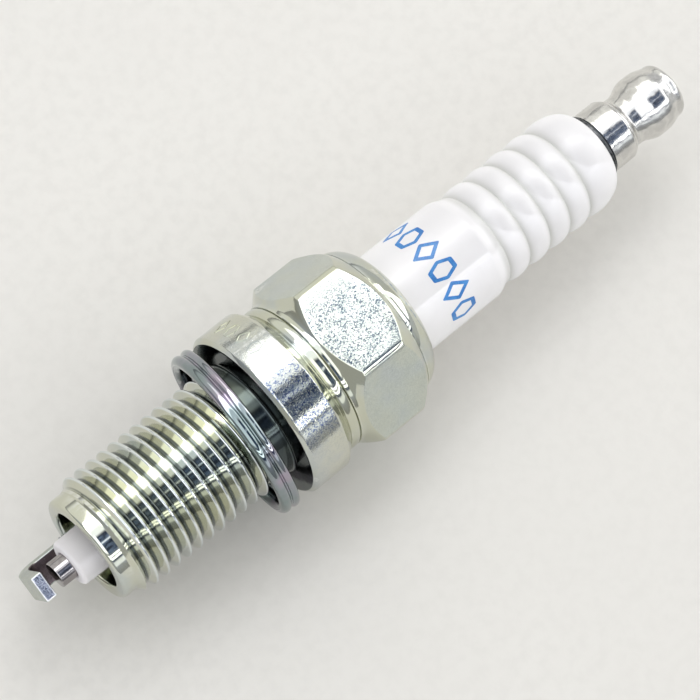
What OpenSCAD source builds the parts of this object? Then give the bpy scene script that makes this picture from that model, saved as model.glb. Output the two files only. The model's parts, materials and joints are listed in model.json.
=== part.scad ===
// Spark plug with a screwed-on terminal nut and a loose folded gasket.
//
// The plug lies on its side along +X, firing end towards -X, and rests at z = 0.
// Every station below is measured along the plug's axis from the seat face, positive
// towards the terminal, and every outline is a list of [station, radius] points.

/* [Thread and shell] */
// Major diameter of the thread
thread_d = 12; // [11.8:0.1:12]
// Thread pitch
pitch = 1.25; // [1:0.25:1.25]
// Length from the seat face to the shell's open end
reach = 19; // [17.5:0.5:21]
// Bore of the shell around the insulator nose
mouth_d = 7.8; // [7.4:0.1:8]
// Diameter of the seat flange
flange_d = 16.9; // [16.5:0.1:17.5]
// Diameter of the waist between flange and hexagon
waist_d = 15.2; // [15:0.1:15.6]
// Hexagon across its flats
hex_af = 15.8; // [15.6:0.1:16]

/* [Gasket] */
// Outer diameter of the gasket
gasket_d = 16.8; // [16.5:0.1:16.9]
// Hole through the gasket
gasket_hole_d = 12.9; // [12.9:0.05:13.2]
// Thickness of the folded gasket
gasket_t = 1.85; // [1.7:0.05:2]
// Angle at which the loose gasket leans towards the firing end
gasket_lean = 7.4; // [0:0.1:7.4]
// Turn of the gasket's contact point about the axis, from straight down
gasket_turn = 27; // [0:1:40]

/* [Insulator] */
// Diameter of the barrel and of its glazed part
barrel_d = 10.5; // [10.3:0.1:10.6]
// Station of the insulator's top face
insulator_top = 40.9; // [40.5:0.1:41.5]
// Ribs along the upper barrel
rib_count = 5; // [3:1:5]
// Spacing of the ribs
rib_pitch = 2.5; // [2.3:0.1:2.5]
// Depth of the grooves between ribs
rib_depth = 0.3; // [0.1:0.05:0.5]
// Diameter of the nose
nose_d = 4.5; // [4.2:0.1:4.8]
// Length of nose that stands out of the shell
nose_out = 1.9; // [1:0.1:2]

/* [Terminal] */
// Diameter of the nut's skirt and bulb
terminal_d = 6.35; // [6.2:0.05:6.5]
// Diameter of the nut's neck
neck_d = 5.14; // [5.1:0.02:5.5]
// Height of the nut
nut_h = 9.55; // [9.5:0.05:9.8]

/* [Electrodes] */
// Diameter of the centre electrode
electrode_d = 2.5; // [2.2:0.1:2.6]
// Length of centre electrode that stands out of the nose
electrode_out = 1.5; // [0.8:0.1:1.6]
// Spark gap
spark_gap = 0.95; // [0.6:0.05:1.1]
// Width of the ground strap
strap_w = 2.55; // [2.2:0.05:2.8]
// Thickness of the ground strap
strap_t = 1.1; // [1:0.05:1.2]
// Turn of the ground strap about the axis, from straight up
strap_turn = 202; // [0:1:359]
// Distance that the strap's end reaches past the axis
strap_past = 0.85; // [0:0.05:1.4]

/* [Hidden] */
$fn = 96;

// Assembly gap between pieces that touch, overlap used when cutting, and edges of a round wire
touch = 0.02;
cut = 0.5;
wire_fn = 32;

// Thread: basic profile of an external metric thread
thread_r = thread_d / 2;
thread_root_r = thread_r - 0.616 * pitch;
thread_from = -reach + 1.7;
thread_to = -1.9;
thread_start_turn = 218;
thread_steps = 36;
tip_spare = 0.12;
relief_r = 5.65;
relief_taper = 0.4;
end_round = 0.42;

// Shell: stations and radii of the outside
flange_r = flange_d / 2;
flange_front = 0.4;
flange_rear = 3.95;
waist_r = waist_d / 2;
waist_front = 5.06;
waist_rear = 6.1;
hex_foot = 6.6;
hex_front = 7.85;
hex_rear = 12.45;
hex_end = 13.8;
hex_sink = 0.4;
hex_corner_trim = 0.17;
hex_corner_r = hex_af / 2 / cos(30) - hex_corner_trim;
flange_chamfer = 0.4;
waist_bulge = 0.2;
collar_r = 7.6;
lip_end = 16.15;
seat_fillet = 0.3;

// Shell: stations and radii of the inside
ledge_r = 3.45;
ledge_bottom = -7.8;
ledge_top = -6.6;
ledge_slope = 0.45;
lower_bore_r = 4.25;
upper_bore_r = 6.5;
upper_bore_from = 4.9;
lip_bore_r = 5.35;
lip_from = 13.6;
lip_wall = 0.95;
lip_arc_r = lip_bore_r - 0.2;

// Insulator inside the shell
middle_r = lower_bore_r - 0.15;
collar_outer_r = upper_bore_r - 0.12;
collar_bottom = 5.4;
collar_top = 9.1;
barrel_r = barrel_d / 2;
barrel_from = 10.1;
nose_r = nose_d / 2;
nose_tip = -reach - nose_out;
nose_round = 0.4;
nose_straight = 3;
nose_taper = 0.05;
nose_root_r = 3.1;
washer_t = 0.5;
stud_bore_r = 1.9;
electrode_seat = -4.9;
first_groove = 26.75;
groove_lead = 1.8;
crest_r = barrel_r - 0.2;
last_crest = first_groove + rib_count * rib_pitch - rib_pitch / 2;
top_r = 3.5;

// Centre electrode and the stack above it
electrode_r = electrode_d / 2;
electrode_tip = nose_tip - electrode_out;
electrode_round = 0.12;
electrode_head_r = 1.7;
electrode_head_top = -4.0;
core_r = 0.75;
core_cover = 1.8;
core_tip = electrode_tip + core_cover;
stack_r = stud_bore_r - touch;
resistor_bottom = -1.2;
resistor_top = 9.0;
seal_top = 12.0;
stud_foot = 10.4;

// Terminal stud and nut
stud_r = 1.6;
knurl_r = 1.5;
knurl_depth = 0.2;
knurl_grooves = 3;
stud_flange_h = 0.42;
stud_flange_round = 0.1;
stud_flange_top = insulator_top + touch + stud_flange_h;
stud_thread_r = 2.0;
stud_thread_pitch = 0.7;
stud_thread_steps = 20;
stud_thread_gap = 0.5;
stud_chamfer = 0.3;
stud_short = 1.2;
stud_end = stud_flange_top + nut_h - stud_short;
nut_bottom = stud_flange_top + touch;
nut_top = nut_bottom + nut_h;
nut_bore_r = stud_thread_r + 0.05;
nut_r = terminal_d / 2;
neck_r = neck_d / 2;
nut_edge = 0.15;
nut_skirt_h = 2.5;
neck_from = 3.7;
neck_to = 4.35;
bulb_from = 6.25;
bulb_to = 7.3;
nut_round = 0.5;
nut_taper = 0.4;
nut_sink = 0.3;
nut_rim = 0.1;

// Packing between insulator and shell
wire_r = 0.52;
wire_ring_r = (barrel_r + upper_bore_r) / 2;
lower_wire_at = 10.35;
talc_from = lower_wire_at + wire_r + touch;
upper_wire_at = 13.9;
talc_to = upper_wire_at - wire_r - touch;

// Ground strap
strap_outer = electrode_tip - spark_gap - strap_t;
strap_bend_r = 2.2;
strap_top_r = 4.95;

// Gasket: a thick front roll, a thinner rear roll, and how far its lean lowers the front one
rear_roll_t = 0.8;
front_roll_t = gasket_t - rear_roll_t;
gasket_r = gasket_d / 2;
gasket_hole_r = gasket_hole_d / 2;
front_lip_r = 7.2;
front_roll_r = front_roll_t / 2;
gasket_drop = front_roll_r * (1 - cos(gasket_lean)) + (gasket_t - front_roll_r) * sin(gasket_lean);
seat_clearance = 0.03;

// Frame: middle of the length at x = 0, lowest point at z = 0
middle_station = (strap_outer + nut_top) / 2;
axis_height = flange_r;

// Points of an elliptical arc with centre c and half-axes a along the plug and b across it
function arc(c, a, b, from, to, steps = 10) =
    [for (i = [0:steps]) let (t = from + (to - from) * i / steps) [c[0] + a * cos(t), c[1] + b * sin(t)]];

// Points of a smooth S-shaped change of radius from point p to point q
function blend(p, q, steps = 10) =
    [for (i = [0:steps])
        let (t = i / steps)
        [p[0] + (q[0] - p[0]) * t, (p[1] + q[1]) / 2 + (p[1] - q[1]) / 2 * cos(180 * t)]];

// Radius of the ribbed barrel at a station: round grooves one rib apart
function rib_radius(s) = crest_r - rib_depth * pow(cos(180 * (s - first_groove) / rib_pitch), 2);

module place() {
    translate([-middle_station, 0, axis_height]) children();
}

// Solid of revolution about the plug's axis from [station, radius] points
module turned(points) {
    rotate([0, 90, 0]) rotate_extrude() polygon([for (p = points) [p[1], p[0]]]);
}

// Round bar about the plug's axis between two stations
module bar(from, to, r) {
    translate([from, 0, 0]) rotate([0, 90, 0]) cylinder(h = to - from, r = r);
}

// Tube about the plug's axis between two stations
module tube(from, to, outer_r, inner_r) {
    difference() {
        bar(from, to, outer_r);
        bar(from - cut, to + cut, inner_r);
    }
}

// Ring of round wire about the plug's axis
module wire_ring(at) {
    translate([at, 0, 0]) rotate([0, 90, 0]) rotate_extrude()
        translate([wire_ring_r, 0]) circle(r = wire_r, $fn = wire_fn);
}

// Right-handed helical ridge that tapers into the root at both ends
module ridge(from, to, root_r, tip_r, lead, steps) {
    count = floor((to - from) / lead * steps);
    runout = steps * 0.6;
    sink = 0.35;
    end_r = root_r - 0.1;
    root_half = lead * 0.46;
    tip_half = lead * 0.06;
    rings = [
        for (i = [0:count])
        let (a = 360 * i / steps, s = from + lead * i / steps, k = min(1, i / runout, (count - i) / runout))
        let (r = end_r + (tip_r - end_r) * k, half = root_half - (root_half - tip_half) * k)
        [for (p = [[root_r - sink, -root_half], [r, -half], [r, half], [root_r - sink, root_half]])
            [p[0] * cos(a), p[0] * sin(a), s + p[1]]]
    ];
    sides = 4;
    last = count * sides;
    start_cap = [[3, 2, 1, 0]];
    end_cap = [[last, last + 1, last + 2, last + 3]];
    first_half = [
        for (i = [0:count - 1], j = [0:sides - 1])
        [i * sides + j, i * sides + (j + 1) % sides, (i + 1) * sides + (j + 1) % sides]
    ];
    second_half = [
        for (i = [0:count - 1], j = [0:sides - 1])
        [i * sides + j, (i + 1) * sides + (j + 1) % sides, (i + 1) * sides + j]
    ];
    rotate([0, 90, 0])
        polyhedron(
            points = [for (ring = rings, p = ring) p],
            faces = concat(start_cap, first_half, second_half, end_cap),
            convexity = 10);
}

// Thread cut to true crests: the ridge is taller than the thread and trimmed to its major cylinder
module thread(from, to, root_r, crest_r, lead, steps, start_turn = 0) {
    intersection() {
        rotate([start_turn, 0, 0]) ridge(from, to, root_r, crest_r + lead * tip_spare, lead, steps);
        bar(from - lead, to + lead, crest_r);
    }
}

module shell_outside() {
    waist_middle = (waist_front + waist_rear) / 2;
    turned(concat(
        [[-reach, 0]],
        arc([-reach + end_round, thread_root_r - end_round], end_round, end_round, 180, 90, 5),
        [[thread_to - relief_taper, thread_root_r], [thread_to, relief_r], [-seat_fillet, relief_r]],
        arc([-seat_fillet, relief_r + seat_fillet], seat_fillet, seat_fillet, 270, 360, 6),
        [[0, flange_r - flange_chamfer], [flange_front, flange_r], [flange_rear, flange_r]],
        arc([waist_middle, waist_r - waist_bulge], (waist_rear - waist_front) / 2, waist_bulge, 180, 0, 8),
        [[waist_rear, collar_r]],
        arc([lip_from, lip_arc_r], lip_end - lip_from, collar_r - lip_arc_r, 90, 5, 12),
        [[lip_end, lip_bore_r], [lip_end, 0]]
    ));
}

// Hexagon with chamfered corners; its rear end sinks a little into the crimped collar
module shell_hexagon() {
    sunk_end = hex_end + hex_sink;
    foot_step = 0.05;
    intersection() {
        translate([hex_foot, 0, 0])
            rotate([0, 90, 0]) rotate([0, 0, 30])
                cylinder(h = sunk_end - hex_foot, r = hex_af / 2 / cos(30), $fn = 6);
        turned([
            [hex_foot, 0], [hex_foot, collar_r + foot_step], [hex_front, hex_corner_r],
            [hex_rear, hex_corner_r], [sunk_end, collar_r - hex_sink / 2], [sunk_end, 0]
        ]);
    }
}

module shell_inside() {
    turned(concat(
        [[-reach - cut, 0], [-reach - cut, mouth_d / 2], [ledge_bottom - ledge_slope, mouth_d / 2]],
        [[ledge_bottom, ledge_r], [ledge_top, ledge_r], [ledge_top + lower_bore_r - ledge_r, lower_bore_r]],
        [[upper_bore_from - (upper_bore_r - lower_bore_r), lower_bore_r], [upper_bore_from, upper_bore_r]],
        arc([lip_from, lip_arc_r], lip_end - lip_from - lip_wall, upper_bore_r - lip_arc_r, 90, 9, 10),
        [[lip_end + cut, lip_bore_r], [lip_end + cut, 0]]
    ));
}

module metal_shell() {
    color("silver") place() difference() {
        union() {
            shell_outside();
            shell_hexagon();
            thread(thread_from, thread_to, thread_root_r, thread_r, pitch, thread_steps, thread_start_turn);
        }
        shell_inside();
    }
}

// The strap in its own plane: leg on the shell's end face, round bend, arm across the gap
module ground_electrode() {
    bend_at = strap_outer + strap_bend_r;
    leg_inner = strap_top_r - strap_t;
    color("darkgray") place() rotate([strap_turn, 0, 0]) rotate([90, 0, 0])
        translate([0, 0, -strap_w / 2]) linear_extrude(height = strap_w) union() {
            translate([bend_at, leg_inner]) square([-reach - bend_at, strap_t]);
            translate([strap_outer, -strap_past]) square([strap_t, strap_past + strap_top_r - strap_bend_r]);
            translate([bend_at, strap_top_r - strap_bend_r]) intersection() {
                difference() {
                    circle(r = strap_bend_r);
                    circle(r = strap_bend_r - strap_t);
                }
                translate([-strap_bend_r, 0]) square(strap_bend_r);
            }
        }
}

module insulator_outside() {
    step = ledge_top + washer_t + touch - ledge_r;
    rib_steps = 8 * rib_count;
    grooves_from = first_groove + rib_pitch / 10;
    nose_to = -reach + nose_straight;
    turned(concat(
        [[nose_tip, 0]],
        arc([nose_tip + nose_round, nose_r - nose_round], nose_round, nose_round, 180, 90, 5),
        [[nose_to, nose_r + nose_taper], [step + nose_root_r, nose_root_r], [step + middle_r, middle_r]],
        [[collar_bottom - (collar_outer_r - middle_r), middle_r], [collar_bottom, collar_outer_r]],
        [[collar_top, collar_outer_r], [barrel_from, barrel_r]],
        blend([first_groove - groove_lead, barrel_r], [first_groove, crest_r - rib_depth], 8),
        [for (i = [1:rib_steps])
            let (s = grooves_from + (last_crest - grooves_from) * i / rib_steps)
            [s, rib_radius(s)]],
        arc([last_crest, top_r], insulator_top - last_crest, crest_r - top_r, 85, 0, 9),
        [[insulator_top, 0]]
    ));
}

module insulator() {
    color("white") place() difference() {
        insulator_outside();
        turned([
            [nose_tip - cut, 0], [nose_tip - cut, electrode_r + touch], [electrode_seat, electrode_r + touch],
            [electrode_seat, stud_bore_r], [insulator_top + cut, stud_bore_r], [insulator_top + cut, 0]
        ]);
    }
}

module center_electrode() {
    color("dimgray") place() difference() {
        union() {
            turned(concat(
                [[electrode_tip, 0]],
                arc([electrode_tip + electrode_round, electrode_r - electrode_round],
                    electrode_round, electrode_round, 180, 90, 4),
                [[electrode_head_top, electrode_r], [electrode_head_top, 0]]
            ));
            bar(electrode_seat + touch, electrode_head_top, electrode_head_r);
        }
        bar(core_tip, electrode_head_top + cut, core_r + touch);
    }
}

module copper_core() {
    color("peru") place() bar(core_tip + touch, electrode_head_top - touch, core_r);
}

module lower_glass_seal() {
    color("darkslategray") place() bar(electrode_head_top + touch, resistor_bottom - touch, stack_r);
}

module resistor() {
    color("black") place() bar(resistor_bottom, resistor_top, stack_r);
}

// Cup of glass that grips the knurled foot of the stud
module upper_glass_seal() {
    color("darkslategray") place() difference() {
        bar(resistor_top + touch, seal_top, stack_r);
        bar(stud_foot - touch, seal_top + cut, knurl_r + touch);
    }
}

// Stud with grooved foot, shank, flange that sits on the insulator, and threaded end
module terminal_stud() {
    groove_pitch = (seal_top - stud_foot) / (knurl_grooves + 1);
    groove_shape = [[0.15, 0], [0.75, 0], [0.9, knurl_depth]];
    flange_foot = insulator_top + touch;
    thread_root = stud_thread_r - 0.616 * stud_thread_pitch;
    color("darkgray") place() union() {
        turned(concat(
            [[stud_foot, 0], [stud_foot, knurl_r - knurl_depth]],
            [for (i = [0:knurl_grooves], p = groove_shape)
                [stud_foot + (i + p[0]) * groove_pitch, knurl_r - p[1]]],
            [[seal_top + stud_chamfer, stud_r], [flange_foot, stud_r]],
            [[flange_foot, top_r - stud_flange_round], [flange_foot + stud_flange_round, top_r]],
            [[stud_flange_top - stud_flange_round, top_r], [stud_flange_top, top_r - stud_flange_round]],
            [[stud_flange_top, thread_root], [stud_end - stud_chamfer, thread_root]],
            [[stud_end, thread_root - stud_chamfer], [stud_end, 0]]
        ));
        thread(stud_flange_top + stud_thread_gap, stud_end - stud_thread_gap,
            thread_root, stud_thread_r, stud_thread_pitch, stud_thread_steps);
    }
}

// Snap terminal: skirt, neck, bulb with a short cylindrical land, rounded end
module terminal_nut() {
    color("gainsboro") place() difference() {
        turned(concat(
            [[nut_bottom, 0], [nut_bottom, nut_r - nut_edge], [nut_bottom + nut_edge, nut_r]],
            blend([nut_bottom + nut_skirt_h, nut_r], [nut_bottom + neck_from, neck_r], 8),
            blend([nut_bottom + neck_to, neck_r], [nut_bottom + bulb_from, nut_r], 8),
            [[nut_bottom + bulb_to, nut_r], [nut_top - nut_round, nut_r - nut_taper]],
            arc([nut_top - nut_round, nut_r - nut_taper - nut_round], nut_round, nut_round, 80, 0, 5),
            [[nut_top, 0]]
        ));
        bar(nut_bottom - cut, nut_top + cut, nut_bore_r);
        turned([
            [nut_top - nut_sink, 0], [nut_top - nut_sink, nut_bore_r],
            [nut_top + nut_rim, nut_bore_r + nut_sink + nut_rim], [nut_top + nut_rim, 0]
        ]);
    }
}

// One rolled layer of the gasket, flat with round edges
module gasket_layer(from, thickness, inner_r) {
    roll_r = thickness / 2;
    rotate([0, 90, 0]) rotate_extrude() union() {
        translate([inner_r + roll_r, from]) square([gasket_r - inner_r - thickness, thickness]);
        translate([inner_r + roll_r, from + roll_r]) circle(r = roll_r, $fn = wire_fn);
        translate([gasket_r - roll_r, from + roll_r]) circle(r = roll_r, $fn = wire_fn);
    }
}

// The gasket touches the seat at one point of its edge and leans about it
module gasket() {
    color("lightgray") place() rotate([gasket_turn, 0, 0])
        translate([-seat_clearance, 0, gasket_drop - gasket_r])
            rotate([0, -gasket_lean, 0]) translate([0, 0, gasket_r]) union() {
                gasket_layer(-gasket_t, front_roll_t, front_lip_r);
                gasket_layer(-rear_roll_t, rear_roll_t, gasket_hole_r);
                tube(-gasket_t / 2, -rear_roll_t / 2, gasket_r - front_roll_r, front_lip_r + front_roll_r);
            }
}

// Conical washer between the shell's ledge and the insulator's step
module lower_packing_washer() {
    inner_r = ledge_r + 2 * touch;
    outer_r = middle_r - 2 * touch;
    slope = ledge_top - ledge_r + touch / 2;
    color("peru") place() turned([
        [slope + inner_r, inner_r], [slope + outer_r, outer_r],
        [slope + outer_r + washer_t, outer_r], [slope + inner_r + washer_t, inner_r]
    ]);
}

module lower_packing_ring() {
    color("gray") place() wire_ring(lower_wire_at);
}

module talc_ring() {
    color("ivory") place() tube(talc_from, talc_to, upper_bore_r - touch, barrel_r + touch);
}

module upper_packing_ring() {
    color("gray") place() wire_ring(upper_wire_at);
}

metal_shell();
ground_electrode();
insulator();
center_electrode();
copper_core();
lower_glass_seal();
resistor();
upper_glass_seal();
terminal_stud();
terminal_nut();
gasket();
lower_packing_washer();
lower_packing_ring();
talc_ring();
upper_packing_ring();
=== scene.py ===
"""Looks of a spark plug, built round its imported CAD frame.

The plug lies along +X with its firing end towards -X. A station is a distance along its
axis from the seat face, positive towards the terminal. A turn is an angle about the axis
from straight up, by the right-hand rule. Sizes are in millimetres, and Place turns them
into the frame's metres.
"""
import json
import logging
import math
from dataclasses import dataclass
from enum import Enum
from typing import Any, Callable, Sequence

import bmesh
import bpy
from mathutils import Matrix, Vector


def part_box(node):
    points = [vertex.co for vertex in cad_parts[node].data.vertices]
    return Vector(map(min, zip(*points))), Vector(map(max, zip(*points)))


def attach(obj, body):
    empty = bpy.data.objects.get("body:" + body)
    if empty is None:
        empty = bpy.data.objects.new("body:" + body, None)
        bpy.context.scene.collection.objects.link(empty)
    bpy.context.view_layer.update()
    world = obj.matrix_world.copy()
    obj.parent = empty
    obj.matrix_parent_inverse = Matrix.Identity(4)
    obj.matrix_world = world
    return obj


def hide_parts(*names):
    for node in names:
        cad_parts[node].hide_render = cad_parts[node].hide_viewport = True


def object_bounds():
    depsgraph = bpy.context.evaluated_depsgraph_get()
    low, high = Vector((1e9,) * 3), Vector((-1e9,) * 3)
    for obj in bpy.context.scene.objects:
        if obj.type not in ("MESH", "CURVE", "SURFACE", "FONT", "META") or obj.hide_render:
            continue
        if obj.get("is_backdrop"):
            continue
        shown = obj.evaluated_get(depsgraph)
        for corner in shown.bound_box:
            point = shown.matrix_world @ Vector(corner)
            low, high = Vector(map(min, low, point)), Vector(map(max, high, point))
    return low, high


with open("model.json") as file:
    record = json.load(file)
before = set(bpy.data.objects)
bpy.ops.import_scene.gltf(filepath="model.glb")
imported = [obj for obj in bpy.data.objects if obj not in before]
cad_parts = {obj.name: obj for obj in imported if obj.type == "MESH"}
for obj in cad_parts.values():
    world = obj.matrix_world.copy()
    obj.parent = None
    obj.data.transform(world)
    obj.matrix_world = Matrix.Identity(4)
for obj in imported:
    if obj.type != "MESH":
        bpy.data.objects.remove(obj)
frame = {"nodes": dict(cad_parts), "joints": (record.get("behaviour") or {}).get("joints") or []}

MM = 0.001
MERGE = 2e-7
SPECK = 1e-3
Outline = Sequence[tuple[float, float]]
Colour = tuple[float, float, float]

logging.basicConfig(level=logging.INFO, format="%(message)s")
log = logging.getLogger("spark_plug")


class Ease(Enum):
    """How a value moves from one level to another."""

    LINEAR = "linear"
    SMOOTH = "smooth"

    def share(self, t: float) -> float:
        """Share of the way for a position t, held between 0 and 1."""
        t = min(1.0, max(0.0, t))
        return t if self is Ease.LINEAR else t * t * (3 - 2 * t)


def arc(centre: tuple[float, float], half: tuple[float, float], start: float, end: float, steps: int) -> list:
    """Points of an elliptical arc in an outline.

    Args:
        centre: Station and radius of the arc's centre.
        half: Half-axes along and across the plug.
        start: First angle in degrees, from the terminal's direction.
        end: Last angle in degrees.
        steps: Number of pieces that the arc is cut into.

    Returns:
        The arc's points as (station, radius).
    """
    angles = [math.radians(start + (end - start) * i / steps) for i in range(steps + 1)]
    return [(centre[0] + half[0] * math.cos(a), centre[1] + half[1] * math.sin(a)) for a in angles]


def swell(p: tuple[float, float], q: tuple[float, float], steps: int) -> list:
    """S-shaped change of radius between two outline points.

    Args:
        p: First station and radius.
        q: Last station and radius.
        steps: Number of pieces.

    Returns:
        The points from p to q as (station, radius).
    """
    shares = [i / steps for i in range(steps + 1)]
    return [(p[0] + (q[0] - p[0]) * t, p[1] + (q[1] - p[1]) * Ease.SMOOTH.share(t)) for t in shares]


def soften(points: Outline, size: float, steps: int = 3) -> list:
    """Rounds the sharp corners of an outline.

    Args:
        points: The outline, whose first and last points stay.
        size: Longest distance that a corner is cut back along its sides.
        steps: Number of pieces in each rounded corner.

    Returns:
        The outline with each corner turned into a small curve.
    """
    made = [points[0]]
    for a, b, c in zip(points, points[1:], points[2:]):
        before = Vector((a[0] - b[0], a[1] - b[1]))
        after = Vector((c[0] - b[0], c[1] - b[1]))
        if before.length < MERGE or after.length < MERGE or abs(before.angle(after) - math.pi) < 0.3:
            made.append(b)
            continue
        corner = Vector(b)
        p = corner + before.normalized() * min(size, before.length * 0.4)
        q = corner + after.normalized() * min(size, after.length * 0.4)
        for i in range(steps + 1):
            t = i / steps
            made.append(tuple(p * (1 - t) ** 2 + corner * 2 * t * (1 - t) + q * t ** 2))
    return [*made, points[-1]]


@dataclass(frozen=True)
class Place:
    """Where the plug's axis and seat face lie in the frame."""

    seat_x: float
    axis_z: float

    def point(self, station: float, radius: float, turn: float = 0.0) -> Vector:
        """Point of the frame at a station, radius and turn in degrees."""
        a, reach = math.radians(turn), radius * MM
        return Vector((self.seat_x + station * MM, -reach * math.sin(a), self.axis_z + reach * math.cos(a)))

    def read(self, co: Vector) -> tuple[float, float, float]:
        """Station, radius and turn in degrees of a point of the frame."""
        y, z = co.y, co.z - self.axis_z
        return (co.x - self.seat_x) / MM, math.hypot(y, z) / MM, math.degrees(math.atan2(-y, z))

    def axis(self) -> Vector:
        """A point on the plug's axis."""
        return Vector((0.0, 0.0, self.axis_z))


class Bench:
    """Mesh work with Blender's own operators, shared by all the pieces."""

    def __init__(self, place: Place) -> None:
        """Keeps the plug's place for pieces that turn about its axis."""
        self.place = place

    @staticmethod
    def clear() -> None:
        """Deselects every object."""
        bpy.ops.object.select_all(action="DESELECT")

    def focus(self, obj: bpy.types.Object) -> None:
        """Makes one object the only one selected, and the active one."""
        self.clear()
        obj.select_set(True)
        bpy.context.view_layer.objects.active = obj

    def edit(self, obj: bpy.types.Object, everything: bool = True) -> None:
        """Opens an object in edit mode.

        Args:
            obj: The object to edit.
            everything: Whether all of it starts selected, or nothing.
        """
        self.focus(obj)
        bpy.ops.object.mode_set(mode="EDIT")
        bpy.ops.mesh.select_all(action="SELECT" if everything else "DESELECT")

    @staticmethod
    def close() -> None:
        """Leaves edit mode."""
        bpy.ops.object.mode_set(mode="OBJECT")

    def settle(self, obj: bpy.types.Object) -> None:
        """Puts an object's place, turn and scale into its mesh."""
        self.focus(obj)
        bpy.ops.object.transform_apply(location=True, rotation=True, scale=True)

    def trace(self, name: str, points: Sequence[Vector]) -> bpy.types.Object:
        """Draws a line by extruding one vertex from point to point.

        Args:
            name: The new object's name.
            points: The line's points in the frame.

        Returns:
            The new object, a chain of edges.
        """
        self.clear()
        bpy.ops.mesh.primitive_plane_add(size=SPECK, location=points[0])
        obj = bpy.context.active_object
        obj.name = name
        bpy.ops.object.mode_set(mode="EDIT")
        bpy.ops.mesh.select_all(action="SELECT")
        bpy.ops.mesh.merge(type="CENTER")
        for a, b in zip(points, points[1:]):
            bpy.ops.mesh.extrude_vertices_move(TRANSFORM_OT_translate={"value": tuple(b - a)})
        self.close()
        self.settle(obj)
        return obj

    def lathe(self, name: str, outline: Outline, steps: int) -> bpy.types.Object:
        """Spins an outline once round the plug's axis.

        Args:
            name: The new object's name.
            outline: Points as (station, radius).
            steps: Number of columns round the axis.

        Returns:
            The new object, with its doubles merged and its faces outward.
        """
        obj = self.trace(name, [self.place.point(s, max(r, 0.0)) for s, r in outline])
        self.edit(obj)
        bpy.ops.mesh.spin(steps=steps, angle=2 * math.pi, center=self.place.axis(), axis=(1, 0, 0))
        self.tidy()
        self.close()
        return obj

    @staticmethod
    def tidy() -> None:
        """Merges doubles and turns faces outward, in edit mode."""
        bpy.ops.mesh.select_all(action="SELECT")
        bpy.ops.mesh.remove_doubles(threshold=MERGE)
        bpy.ops.mesh.normals_make_consistent(inside=False)

    def smooth(self, obj: bpy.types.Object, degrees: float = 40.0) -> None:
        """Shades an object smooth, keeping edges sharper than an angle."""
        self.focus(obj)
        bpy.ops.object.shade_smooth_by_angle(angle=math.radians(degrees))

    def apply(self, obj: bpy.types.Object, kind: str, **settings: Any) -> None:
        """Adds a modifier with these settings and applies it.

        Args:
            obj: The object that it shapes.
            kind: The modifier's type.
            settings: Its properties by name.
        """
        self.focus(obj)
        bpy.ops.object.modifier_add(type=kind)
        modifier = obj.modifiers[-1]
        for key, value in settings.items():
            setattr(modifier, key, value)
        bpy.ops.object.modifier_apply(modifier=modifier.name)

    def move_points(self, obj: bpy.types.Object, rule: Callable[[float, float, float], tuple | None]) -> None:
        """Moves vertices by a rule on station, radius and turn.

        Args:
            obj: The object to change.
            rule: Gives the new station, radius and turn, or None to leave a vertex.
        """
        for v in obj.data.vertices:
            moved = rule(*self.place.read(v.co))
            if moved is not None:
                v.co = self.place.point(*moved)
        obj.data.update()

    def paint(self, obj: bpy.types.Object, materials: Sequence[bpy.types.Material],
              choose: Callable[[float, float, float], int] | None = None) -> None:
        """Gives an object its materials.

        Args:
            obj: The object to dress.
            materials: Its materials in slot order.
            choose: Gives a face's slot from its centre's station, radius and turn.
        """
        obj.data.materials.clear()
        for material in materials:
            obj.data.materials.append(material)
        if choose is not None:
            for face in obj.data.polygons:
                face.material_index = choose(*self.place.read(face.center))

    def bridge(self, obj: bpy.types.Object, low: float, high: float) -> None:
        """Bridges the two open rims that lie between two stations.

        Args:
            obj: The object that has the rims.
            low: Lowest station of the rims.
            high: Highest station of the rims.
        """
        self.edit(obj, everything=False)
        bpy.ops.mesh.select_mode(type="EDGE")
        mesh = bmesh.from_edit_mesh(obj.data)
        for edge in mesh.edges:
            stations = [self.place.read(v.co)[0] for v in edge.verts]
            edge.select_set(edge.is_boundary and low < min(stations) and max(stations) < high)
        bmesh.update_edit_mesh(obj.data)
        bpy.ops.mesh.bridge_edge_loops()
        bpy.ops.mesh.select_mode(type="VERT")
        self.close()


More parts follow.
